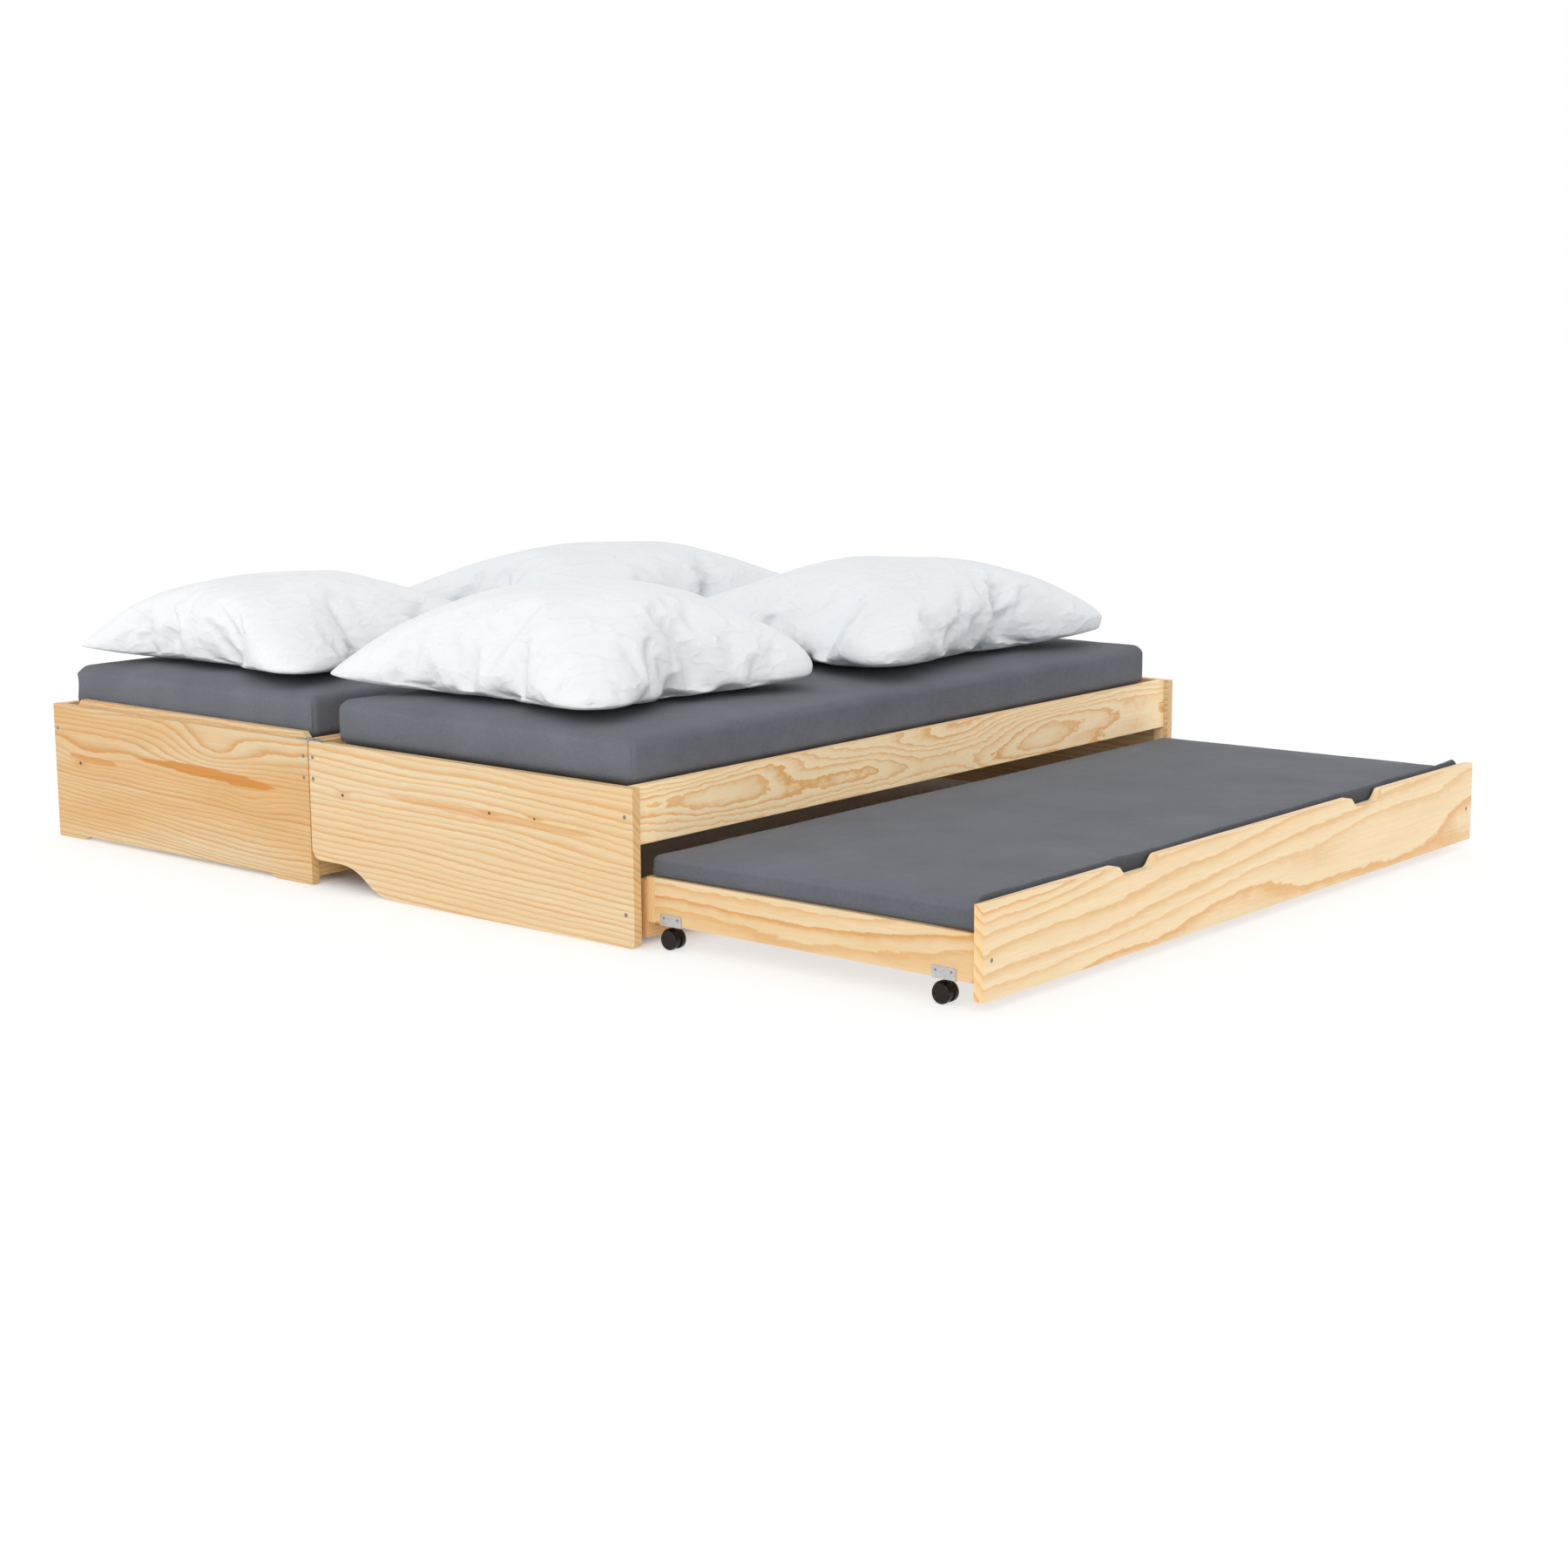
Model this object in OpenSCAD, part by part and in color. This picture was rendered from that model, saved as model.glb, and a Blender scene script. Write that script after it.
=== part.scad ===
// Fold-out double daybed with a trundle, in pine.
// Three wooden units: the base, the extension hinged to the base at the seam, and the
// trundle that rolls out from under the extension on four swivel castors.
// Inside the modules, X = 0 is the seam, Y = 0 is the near end and Z = 0 is the floor.
// place() moves the whole bed so that the origin is the bottom centre of its box.

/* [Bed] */
// Length of the bed over its end panels
bed_len = 2060; // [1900:10:2100]
// Width of the base, seam to outer edge
base_w = 975; // [960:5:1000]
// Width of the extension, seam to outer edge
extension_w = 1010; // [1000:5:1015]
// Height of the end panels
panel_h = 335; // [325:5:345]
// Thickness of the pine boards
board_t = 22; // [20:1:24]
// Height of the upper rails
rail_h = 122; // [115:1:123]
// Radius of the curve where the extension's end panel steps up at the hinge side
scoop_r = 146; // [130:2:160]
// Height of that step above the floor
scoop_h = 62; // [55:1:68]

/* [Slats] */
// Number of slats in each deck
slat_count = 13; // [10:1:14]
// Width of a slat
slat_w = 70; // [60:2:80]
// Thickness of a slat
slat_t = 18; // [16:1:20]
// Height of the top of the ledgers that carry the bed slats
ledger_z = 300; // [290:1:302]

/* [Trundle] */
// How far the trundle's front stands from the seam when it is pulled out
trundle_out = 1872; // [1868:2:1900]
// Height of the trundle's front board
front_h = 186; // [180:1:187]
// Gap between the floor and the front board
front_gap = 22; // [16:1:22]
// Height of the trundle's side and rear boards
side_h = 95; // [90:1:98]
// Height of the trundle's side boards above the floor
side_z = 52; // [50:1:54]
// Depth of the finger grips in the front board
grip_deep = 24; // [20:1:28]

/* [Castors] */
// Radius of the castor wheels
wheel_r = 21; // [20:0.5:21]
// Distance from the swivel axis back to the wheel axle
castor_trail = 7; // [6:0.5:7.5]

/* [Bedding] */
// Height of the top of the two upper mattresses
mattress_top = 440; // [430:5:460]
// Height of the top of the trundle's mattress
trundle_mattress_top = 208; // [195:1:208]

/* [Hidden] */

$fn = 48;
PINE = "burlywood";
PINE_LIGHT = "navajowhite";
ZINC = "silver";
BLACK = "dimgray";
SHEET = "slategray";
COTTON = "white";

fit = 0.05;             // radial clearance of a pin or screw in its hole
seam = 2;               // half the gap between the two end panels at the seam
rail_inset = 12;        // the extension's outer rail stands this far inside the panel's edge
base_rail_inset = 2;    // the same for the base's outer rail
ledger_w = 20;
ledger_h = 30;

// places of the rails' near faces along X, each rail is board_t thick
base_outer_x = -base_w + base_rail_inset;
base_hinge_x = -29;
ext_hinge_x = 3;
ext_outer_x = extension_w - rail_inset - board_t;
rail_z = panel_h - rail_h;
low_board_z = 17;
panel_notch_h = 9;

// hinge: the pin lies just above the panels' top edges
pin_z = panel_h + 2;
pin_r = 1.3;
knuckle_r = 2.6;
leaf_t = 1.7;
leaf_z = panel_h + 0.05;
strap_len = 45;
strap_w = 20;
rail_leaf_len = 22;
rail_leaf_w = 60;
rail_hinge_y = [bed_len / 2 - 340, bed_len / 2 + 340];

// screws: [head radius, shank radius]
wood_screw = [5, 2.2];
small_screw = [2.9, 1.4];

// trundle
trundle_end_gap = 26;                          // from the bed's end to the front board's end
front_x = trundle_out - board_t;               // inner face of the front board
rear_t = 22;
rear_x = trundle_out - 864;                    // rear face of the rear board
side_y = trundle_end_gap + 15;                 // outer face of the near side board
skirt_x = rear_x - board_t;
trundle_ledger_z = 66;
trundle_ledger_h = 20;
trundle_slat_z = trundle_ledger_z + trundle_ledger_h;
front_top = front_gap + front_h;
grip_flat = 42;
grip_r = 20;
grip_offset = 475;

// castors
castor_inset_front = 80;
castor_inset_rear = 45;
castor_y = side_y + 14;
castor_x = [rear_x + rear_t + castor_inset_rear, front_x - castor_inset_front];
bracket_t = 2;
bracket_len = 57;
bracket_h = 24;
stem_r = 4;
axle_r = 2;
wheel_w = 12.5;
web_half = 5;
canopy_t = 2;
ball_r = wheel_r + 4.5;                       // the whole castor turns inside this ball

// the bed's box, for the origin
centre_x = (trundle_out - base_w) / 2;
centre_y = bed_len / 2;

gap = 0.3;              // between soft parts and wood

// ---------- helpers ----------

module place() {
    translate([-centre_x, -centre_y, 0]) children();
}

// the same thing at the other end of the bed
module at_far_end() {
    translate([0, bed_len, 0]) mirror([0, 1, 0]) children();
}

module at_both_ends() {
    children();
    at_far_end() children();
}

// a box from its lowest corner
module board(x, y, z, size) {
    translate([x, y, z]) cube(size);
}

// an outline drawn in X and Z, extruded from y to y + t
module upright_panel(y, t, outline) {
    translate([0, y + t, 0]) rotate([90, 0, 0]) linear_extrude(t) polygon(outline);
}

function arc(cx, cy, r, a0, a1, n = 12) =
    [for (i = [0:n]) [cx + r * cos(a0 + (a1 - a0) * i / n), cy + r * sin(a0 + (a1 - a0) * i / n)]];

// countersunk screw body pointing along +Z, head flush at z = 0
module screw_body(kind, length, grow = 0) {
    head_h = kind[0] - kind[1];
    translate([0, 0, grow > 0 ? -1 : 0.1]) cylinder(r = kind[0] + grow, h = grow > 0 ? 1.4 : 0.3);
    translate([0, 0, 0.4]) cylinder(r1 = kind[0] + grow, r2 = kind[1] + grow, h = head_h);
    cylinder(r = kind[1] + grow, h = length + grow);
}

module screw(kind, length) {
    slot = kind[0] * 1.1;
    difference() {
        screw_body(kind, length);
        for (turn = [0, 90]) {
            rotate([0, 0, turn]) translate([-slot / 2, -0.4, -0.5]) cube([slot, 0.8, 1.7]);
        }
    }
}

module screw_hole(kind, length) {
    screw_body(kind, length, fit);
}

// children along +Y, into the near end panel, at [x, z]
module into_end(x, z) {
    translate([x, 0, z]) rotate([-90, 0, 0]) children();
}

// children along -Z, from the top of a leaf or plate
module downwards(x, y, z) {
    translate([x, y, z]) rotate([180, 0, 0]) children();
}

// ---------- where the screws are ----------

rail_mid_z = rail_z + rail_h / 2;
hinge_rail_screw_z = [rail_mid_z - 25, rail_mid_z + 25];
end_screw_len = 60;
stop_screw_len = 32;
stop_screw_z = 69;
batten_screw_len = 34;

base_rail_screws = [
    [base_outer_x + board_t / 2, rail_mid_z],
    for (z = hinge_rail_screw_z) [base_hinge_x + board_t / 2, z]
];
ext_rail_screws = [
    [ext_outer_x + board_t / 2, rail_mid_z],
    for (z = hinge_rail_screw_z) [ext_hinge_x + board_t / 2, z]
];
stop_x = ext_outer_x + board_t / 2;

strap_screw_x = [15, 35];
rail_leaf_screw_y = [-20, 20];
hinge_screw_len = 16;

// side is -1 for the base and 1 for the extension
module at_strap_screws(side) {
    at_both_ends() {
        for (x = strap_screw_x) downwards(side * x, board_t / 2, leaf_z + leaf_t) children();
    }
}

module at_rail_leaf_screws(x) {
    for (y = rail_hinge_y, dy = rail_leaf_screw_y) {
        downwards(x, y + dy, leaf_z + leaf_t) children();
    }
}

// ---------- end panels ----------

// the seam corner is chamfered to clear the hinge knuckle
corner_cut = 3;

function base_panel_outline() = [
    [-base_w, 0],
    [-base_w + 103, 0],
    [-base_w + 123, panel_notch_h],
    [-147, panel_notch_h],
    [-127, 0],
    [-seam, 0],
    [-seam, panel_h - corner_cut],
    [-seam - corner_cut, panel_h],
    [-base_w, panel_h]
];

// the lower hinge-side corner is round, then an S of two equal arcs steps down to the floor
scoop_run = sqrt(pow(scoop_r, 2) - pow(scoop_r - scoop_h / 2, 2));
scoop_start = 95;
scoop_angle = asin(scoop_run / scoop_r);
heel_r = 28;
toe_r = 14;

function extension_panel_outline() = concat(
    [[seam + corner_cut, panel_h], [seam, panel_h - corner_cut]],
    arc(seam + heel_r, scoop_h + heel_r, heel_r, 180, 270),
    arc(scoop_start, scoop_h - scoop_r, scoop_r, 90, 90 - scoop_angle),
    arc(scoop_start + 2 * scoop_run, scoop_r, scoop_r, 270 - scoop_angle, 270),
    arc(extension_w - toe_r, toe_r, toe_r, 270, 360),
    [[extension_w, panel_h]]
);

module base_end_panel() {
    difference() {
        upright_panel(0, board_t, base_panel_outline());
        for (s = base_rail_screws) into_end(s[0], s[1]) screw_hole(wood_screw, end_screw_len);
        at_batten_screws() screw_hole(small_screw, batten_screw_len);
        for (x = strap_screw_x) {
            downwards(-x, board_t / 2, leaf_z + leaf_t) screw_hole(small_screw, hinge_screw_len);
        }
    }
}

module extension_end_panel() {
    difference() {
        upright_panel(0, board_t, extension_panel_outline());
        for (s = ext_rail_screws) into_end(s[0], s[1]) screw_hole(wood_screw, end_screw_len);
        into_end(stop_x, stop_screw_z) screw_hole(wood_screw, stop_screw_len);
        for (x = strap_screw_x) {
            downwards(x, board_t / 2, leaf_z + leaf_t) screw_hole(small_screw, hinge_screw_len);
        }
    }
}

module base_end_panel_near() { color(PINE) place() base_end_panel(); }
module base_end_panel_far() { color(PINE) place() at_far_end() base_end_panel(); }
module extension_end_panel_near() { color(PINE) place() extension_end_panel(); }
module extension_end_panel_far() { color(PINE) place() at_far_end() extension_end_panel(); }

// ---------- raised battens inside the base's end panels ----------

batten_t = 18;
batten_low = 262;
batten_top = panel_h + 14;
batten_screw_x = [-base_w + 150, -base_w / 2, -150];
batten_screw_z = 285;

function batten_outline() = [
    [-base_w + 75, batten_low],
    [-33, batten_low],
    [-33, batten_top - 12],
    [-45, batten_top],
    [-base_w + 87, batten_top],
    [-base_w + 75, batten_top - 12]
];

// children along -Y, from the inner face of the batten into the end panel
module at_batten_screws() {
    for (x = batten_screw_x) {
        translate([x, board_t + batten_t, batten_screw_z]) rotate([90, 0, 0]) children();
    }
}

// the hinge end is notched round the ledger of the deck
module base_end_batten() {
    difference() {
        upright_panel(board_t, batten_t, batten_outline());
        ledger_notch(base_hinge_x - ledger_w);
        at_batten_screws() screw_hole(small_screw, batten_screw_len);
    }
}

module ledger_notch(x) {
    board(x - 1, 0, ledger_z - ledger_h - 1, [ledger_w + 20, board_t + batten_t + 1, ledger_h + slat_t + 3]);
}

module base_end_batten_near() { color(PINE) place() base_end_batten(); }
module base_end_batten_far() { color(PINE) place() at_far_end() base_end_batten(); }

// ---------- rails ----------

module rail(x, screws) {
    difference() {
        board(x, board_t, rail_z, [board_t, bed_len - 2 * board_t, rail_h]);
        at_both_ends() {
            for (s = screws) into_end(s[0], s[1]) screw_hole(wood_screw, end_screw_len);
        }
    }
}

module hinge_rail(x, screws) {
    difference() {
        rail(x, screws);
        at_rail_leaf_screws(x + board_t / 2) screw_hole(small_screw, hinge_screw_len);
    }
}

module base_outer_rail() { color(PINE) place() rail(base_outer_x, base_rail_screws); }
module extension_outer_rail() { color(PINE) place() rail(ext_outer_x, ext_rail_screws); }
module base_hinge_rail() { color(PINE) place() hinge_rail(base_hinge_x, base_rail_screws); }
module extension_hinge_rail() { color(PINE) place() hinge_rail(ext_hinge_x, ext_rail_screws); }

// the board under the base's hinge rail, held by a block in each corner
block = 28;

module base_kick_board() {
    color(PINE) place() {
        board(base_hinge_x, board_t, low_board_z, [board_t, bed_len - 2 * board_t, rail_h]);
    }
}

module base_corner_blocks() {
    color(PINE_LIGHT) place() at_both_ends() {
        board(base_hinge_x - block, board_t, low_board_z, [block, block, rail_h]);
    }
}

// ---------- slat decks ----------

module ledger_pair(x_low, x_high, y0, y1, z, h) {
    board(x_low, y0, z, [ledger_w, y1 - y0, h]);
    board(x_high - ledger_w, y0, z, [ledger_w, y1 - y0, h]);
}

// slats across the deck, evenly spaced from y0 to y1
module slat_row(x0, x1, y0, y1, z) {
    pitch = (y1 - y0 - slat_w) / (slat_count - 1);
    for (i = [0:slat_count - 1]) {
        board(x0, y0 + i * pitch, z, [x1 - x0, slat_w, slat_t]);
    }
}

tape_t = 1.2;
tape_w = 26;
tape_inset = 130;

// two woven tapes stapled under the slats keep them apart
module tape_pair(x0, x1, y0, y1, z) {
    for (x = [x0 + tape_inset, x1 - tape_inset - tape_w]) {
        board(x, y0 + 4, z - tape_t, [tape_w, y1 - y0 - 8, tape_t]);
    }
}

deck_y0 = board_t + batten_t + 8;
deck_y1 = bed_len - deck_y0;
base_deck_x = [base_outer_x + board_t, base_hinge_x];
ext_deck_x = [ext_hinge_x + board_t, ext_outer_x];
trundle_deck_x = [rear_x + rear_t, front_x];
trundle_deck_y0 = side_y + board_t;
trundle_deck_y1 = bed_len - trundle_deck_y0;

module base_slat_ledgers() {
    color(PINE_LIGHT) place() {
        ledger_pair(base_deck_x[0], base_deck_x[1], board_t, bed_len - board_t, ledger_z - ledger_h, ledger_h);
    }
}

module extension_slat_ledgers() {
    color(PINE_LIGHT) place() {
        ledger_pair(ext_deck_x[0], ext_deck_x[1], board_t, bed_len - board_t, ledger_z - ledger_h, ledger_h);
    }
}

module trundle_slat_ledgers() {
    color(PINE_LIGHT) place() {
        ledger_pair(trundle_deck_x[0], trundle_deck_x[1], trundle_deck_y0, trundle_deck_y1,
            trundle_ledger_z, trundle_ledger_h);
    }
}

module base_slats() {
    color(PINE_LIGHT) place() {
        slat_row(base_deck_x[0] + 1, base_deck_x[1] - 1, deck_y0, deck_y1, ledger_z);
    }
}

module extension_slats() {
    color(PINE_LIGHT) place() {
        slat_row(ext_deck_x[0] + 1, ext_deck_x[1] - 1, deck_y0, deck_y1, ledger_z);
    }
}

module trundle_slats() {
    color(PINE_LIGHT) place() {
        slat_row(trundle_deck_x[0] + 1, trundle_deck_x[1] - 1, trundle_deck_y0 + 8, trundle_deck_y1 - 8,
            trundle_slat_z);
    }
}

module base_slat_tapes() {
    color(COTTON) place() tape_pair(base_deck_x[0], base_deck_x[1], deck_y0, deck_y1, ledger_z);
}

module extension_slat_tapes() {
    color(COTTON) place() tape_pair(ext_deck_x[0], ext_deck_x[1], deck_y0, deck_y1, ledger_z);
}

module trundle_slat_tapes() {
    color(COTTON) place() {
        tape_pair(trundle_deck_x[0], trundle_deck_x[1], trundle_deck_y0 + 8, trundle_deck_y1 - 8, trundle_slat_z);
    }
}

// ---------- stop battens at the extension's outer corners ----------

stop_t = 11;
stop_z = 52;

module extension_stop_battens() {
    color(PINE_LIGHT) place() at_both_ends() difference() {
        board(ext_outer_x, board_t, stop_z, [board_t, stop_t, rail_z - 5 - stop_z]);
        into_end(stop_x, stop_screw_z) screw_hole(wood_screw, stop_screw_len);
    }
}

// ---------- screws of the two bed units ----------

module base_screws() {
    color(ZINC) place() at_both_ends() {
        for (s = base_rail_screws) into_end(s[0], s[1]) screw(wood_screw, end_screw_len);
        at_batten_screws() screw(small_screw, batten_screw_len);
    }
}

module extension_screws() {
    color(ZINC) place() at_both_ends() {
        for (s = ext_rail_screws) into_end(s[0], s[1]) screw(wood_screw, end_screw_len);
        into_end(stop_x, stop_screw_z) screw(wood_screw, stop_screw_len);
    }
}

// ---------- hinges ----------

// one leaf: side is -1 on the base, with the two outer knuckles, or 1 with the middle one
module hinge_leaf(side, y, length, width) {
    clear = knuckle_r + 0.4;
    bands = side < 0 ? [[-width / 2, -width / 6 - 0.1], [width / 6 + 0.1, width / 2]]
                     : [[-width / 6 + 0.1, width / 6 - 0.1]];
    translate([0, y, 0]) difference() {
        union() {
            board(side < 0 ? -length : clear, -width / 2, leaf_z, [length - clear, width, leaf_t]);
            for (b = bands) {
                board(side < 0 ? -clear : 0, b[0], leaf_z, [clear, b[1] - b[0], leaf_t]);
                translate([0, b[0], pin_z]) rotate([-90, 0, 0]) cylinder(r = knuckle_r, h = b[1] - b[0]);
            }
        }
        translate([0, -width, pin_z]) rotate([-90, 0, 0]) cylinder(r = pin_r + fit, h = 2 * width);
    }
}

module hinge_leaves(side, screw_x) {
    difference() {
        union() {
            at_both_ends() hinge_leaf(side, board_t / 2, strap_len, strap_w);
            for (y = rail_hinge_y) hinge_leaf(side, y, side * screw_x + 9, rail_leaf_w);
        }
        at_strap_screws(side) screw_hole(small_screw, hinge_screw_len);
        at_rail_leaf_screws(screw_x) screw_hole(small_screw, hinge_screw_len);
    }
}

base_leaf_screw_x = base_hinge_x + board_t / 2;
ext_leaf_screw_x = ext_hinge_x + board_t / 2;

module hinge_leaves_base() { color(ZINC) place() hinge_leaves(-1, base_leaf_screw_x); }
module hinge_leaves_extension() { color(ZINC) place() hinge_leaves(1, ext_leaf_screw_x); }

module hinge_pin(y, length) {
    translate([0, y - length / 2, pin_z]) rotate([-90, 0, 0]) cylinder(r = pin_r, h = length);
}

module hinge_pins() {
    color(ZINC) place() {
        at_both_ends() hinge_pin(board_t / 2, strap_w);
        for (y = rail_hinge_y) hinge_pin(y, rail_leaf_w);
    }
}

module hinge_screws(side, x) {
    at_strap_screws(side) screw(small_screw, hinge_screw_len);
    at_rail_leaf_screws(x) screw(small_screw, hinge_screw_len);
}

module hinge_screws_base() { color(ZINC) place() hinge_screws(-1, base_leaf_screw_x); }
module hinge_screws_extension() { color(ZINC) place() hinge_screws(1, ext_leaf_screw_x); }

// ---------- trundle boards ----------

// half of a finger grip, from the board's top edge down to the flat, mirrored by way
grip_slope_run = 2 * grip_r * sin(45) + grip_deep - 2 * grip_r * (1 - cos(45));

function grip_side(c, way) = [
    for (p = concat(
        arc(-grip_flat - grip_slope_run, front_top - grip_r, grip_r, 90, 45, 6),
        arc(-grip_flat, front_top - grip_deep + grip_r, grip_r, 225, 270, 6)))
    [c + way * p[0], p[1]]
];

function backwards(list) = [for (i = [len(list) - 1:-1:0]) list[i]];

function grip_notch(c) = concat(grip_side(c, 1), backwards(grip_side(c, -1)));

function front_outline() = concat(
    [[trundle_end_gap, front_gap], [trundle_end_gap, front_top]],
    grip_notch(centre_y - grip_offset),
    grip_notch(centre_y + grip_offset),
    [[bed_len - trundle_end_gap, front_top], [bed_len - trundle_end_gap, front_gap]]
);

// an outline drawn in Y and Z, extruded along +X
module cross_panel(x, t, outline) {
    translate([x, 0, 0]) rotate([90, 0, 90]) linear_extrude(t) polygon(outline);
}

side_screw_y = side_y + board_t / 2;
front_screw_z = side_z + side_h / 2;
skirt_screw_y = [200, bed_len / 2];

// children at the screws through the front board into the side boards, along -X
module at_front_screws() {
    at_both_ends() {
        translate([trundle_out, side_screw_y, front_screw_z]) rotate([0, -90, 0]) children();
    }
}

// children at the screws through the rear board into the side boards, along +X
module at_rear_screws() {
    at_both_ends() {
        translate([rear_x, side_screw_y, front_screw_z]) rotate([0, 90, 0]) children();
    }
}

// children at the screws that hold the skirt, from the inside of the rear board, along -X
module at_skirt_screws() {
    for (y = [skirt_screw_y[0], skirt_screw_y[1], bed_len - skirt_screw_y[0]]) {
        translate([rear_x + rear_t, y, front_screw_z + 25]) rotate([0, -90, 0]) children();
    }
}

skirt_screw_len = 36;

module trundle_front_board() {
    color(PINE) place() difference() {
        cross_panel(front_x, board_t, front_outline());
        at_front_screws() screw_hole(wood_screw, end_screw_len);
    }
}

module trundle_rear_board() {
    color(PINE) place() difference() {
        board(rear_x, side_y, side_z, [rear_t, bed_len - 2 * side_y, side_h]);
        at_rear_screws() screw_hole(wood_screw, end_screw_len);
        at_skirt_screws() screw_hole(small_screw, skirt_screw_len);
    }
}

module trundle_rear_skirt() {
    color(PINE) place() difference() {
        board(skirt_x, side_y + 2, low_board_z, [board_t - gap, bed_len - 2 * side_y - 4, rail_h]);
        at_skirt_screws() screw_hole(small_screw, skirt_screw_len);
    }
}

module trundle_side() {
    difference() {
        board(rear_x + rear_t, side_y, side_z, [front_x - rear_x - rear_t, board_t, side_h]);
        at_front_screws() screw_hole(wood_screw, end_screw_len);
        at_rear_screws() screw_hole(wood_screw, end_screw_len);
        for (x = castor_x) {
            translate([x, castor_y, side_z - 1]) cylinder(r = stem_r + 0.5, h = 16);
            at_bracket_screws(x) screw_hole(small_screw, bracket_screw_len);
        }
    }
}

module trundle_side_near() { color(PINE) place() trundle_side(); }
module trundle_side_far() { color(PINE) place() at_far_end() trundle_side(); }

module trundle_screws() {
    color(ZINC) place() {
        at_front_screws() screw(wood_screw, end_screw_len);
        at_rear_screws() screw(wood_screw, end_screw_len);
        at_skirt_screws() screw(small_screw, skirt_screw_len);
        at_both_ends() {
            for (x = castor_x) at_bracket_screws(x) screw(small_screw, bracket_screw_len);
        }
    }
}

// ---------- castors ----------

bracket_screw_len = 16;
bracket_screw_dx = [-18.5, 18.5];
bracket_screw_z = side_z + 14;

// children at a bracket's two screws, along +Y into the near side board
module at_bracket_screws(x) {
    for (dx = bracket_screw_dx) {
        translate([x + dx, side_y - bracket_t, bracket_screw_z]) rotate([-90, 0, 0]) children();
    }
}

// an angle plate: screwed to the face of the side board, its foot under the board holds the stem
module castor_bracket(x) {
    difference() {
        union() {
            board(x - bracket_len / 2, side_y - bracket_t, side_z - bracket_t, [bracket_len, bracket_t, bracket_h]);
            board(x - bracket_len / 2, side_y - bracket_t, side_z - bracket_t,
                [bracket_len, board_t + bracket_t, bracket_t]);
        }
        translate([x, castor_y, side_z - 5]) cylinder(r = stem_r + fit, h = 10);
        at_bracket_screws(x) screw_hole(small_screw, bracket_screw_len);
    }
}

module castor_brackets() {
    color(ZINC) place() at_both_ends() {
        for (x = castor_x) castor_bracket(x);
    }
}

// castors 1 and 2 are at the near end, 3 and 4 at the far end; 1 and 3 are at the rear
module at_castor(i) {
    y = i < 3 ? castor_y : bed_len - castor_y;
    translate([castor_x[(i - 1) % 2], y, 0]) children();
}

stem_low = wheel_r + 13;

module castor_stem() {
    translate([0, 0, stem_low]) cylinder(r = stem_r, h = side_z + 12 - stem_low);
}

// children along Y, centred on the axle
module on_axle() {
    translate([-castor_trail, 0, wheel_r]) rotate([-90, 0, 0]) children();
}

canopy_r = wheel_r + 1 + canopy_t;
canopy_half = web_half + wheel_w + 0.6;

// a web between the wheels, a canopy over them and a boss for the stem
module castor_hood() {
    difference() {
        union() {
            on_axle() translate([0, 0, -web_half + 0.4]) cylinder(r = wheel_r - 3, h = 2 * web_half - 0.8);
            canopy();
            translate([0, 0, stem_low - 3]) cylinder(r = stem_r + 2.6, h = side_z - bracket_t - 2 - stem_low + 3);
        }
        on_axle() {
            wheel_room(1);
            wheel_room(-1);
            translate([0, 0, -canopy_half]) cylinder(r = axle_r + fit, h = 2 * canopy_half);
        }
        translate([0, 0, stem_low]) cylinder(r = stem_r + fit, h = 30);
    }
}

// the space that a wheel turns in
module wheel_room(way) {
    translate([0, 0, way > 0 ? web_half - 0.4 : -web_half - wheel_w - 2 + 0.4]) {
        cylinder(r = wheel_r + 1, h = wheel_w + 2);
    }
}

// the upper shell over the wheels: a ring cut off below the level of the axle
module canopy() {
    difference() {
        on_axle() intersection() {
            translate([0, 0, -canopy_half]) cylinder(r = canopy_r, h = 2 * canopy_half);
            sphere(r = ball_r);
        }
        on_axle() {
            wheel_room(1);
            wheel_room(-1);
        }
        translate([-castor_trail - 40, -40, -40]) cube([80, 80, wheel_r + 47]);
    }
}

module castor_axle() {
    on_axle() translate([0, 0, -web_half - wheel_w + 2]) cylinder(r = axle_r, h = 2 * (web_half + wheel_w - 2));
}

// a wheel with a rounded tread and a dished hub, turned about its axle
module wheel() {
    rotate_extrude() polygon(concat(
        [[axle_r + fit, 0], [wheel_r - 1.5, 0]],
        arc(wheel_r - 1.5, 1.5, 1.5, 270, 360, 5),
        arc(wheel_r - 3.5, wheel_w - 3.5, 3.5, 0, 90, 6),
        [[wheel_r - 6, wheel_w], [wheel_r - 7, wheel_w - 1], [6, wheel_w - 1], [5, wheel_w - 0.2],
         [0, wheel_w - 0.2], [0, wheel_w - 1.6], [axle_r + fit, wheel_w - 1.6]]));
}

module castor_wheels() {
    on_axle() {
        translate([0, 0, web_half]) wheel();
        translate([0, 0, -web_half]) mirror([0, 0, 1]) wheel();
    }
}

module castor_stem_1() { color(ZINC) place() at_castor(1) castor_stem(); }
module castor_stem_2() { color(ZINC) place() at_castor(2) castor_stem(); }
module castor_stem_3() { color(ZINC) place() at_castor(3) castor_stem(); }
module castor_stem_4() { color(ZINC) place() at_castor(4) castor_stem(); }
module castor_hood_1() { color(BLACK) place() at_castor(1) castor_hood(); }
module castor_hood_2() { color(BLACK) place() at_castor(2) castor_hood(); }
module castor_hood_3() { color(BLACK) place() at_castor(3) castor_hood(); }
module castor_hood_4() { color(BLACK) place() at_castor(4) castor_hood(); }
module castor_axle_1() { color(ZINC) place() at_castor(1) castor_axle(); }
module castor_axle_2() { color(ZINC) place() at_castor(2) castor_axle(); }
module castor_axle_3() { color(ZINC) place() at_castor(3) castor_axle(); }
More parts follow.
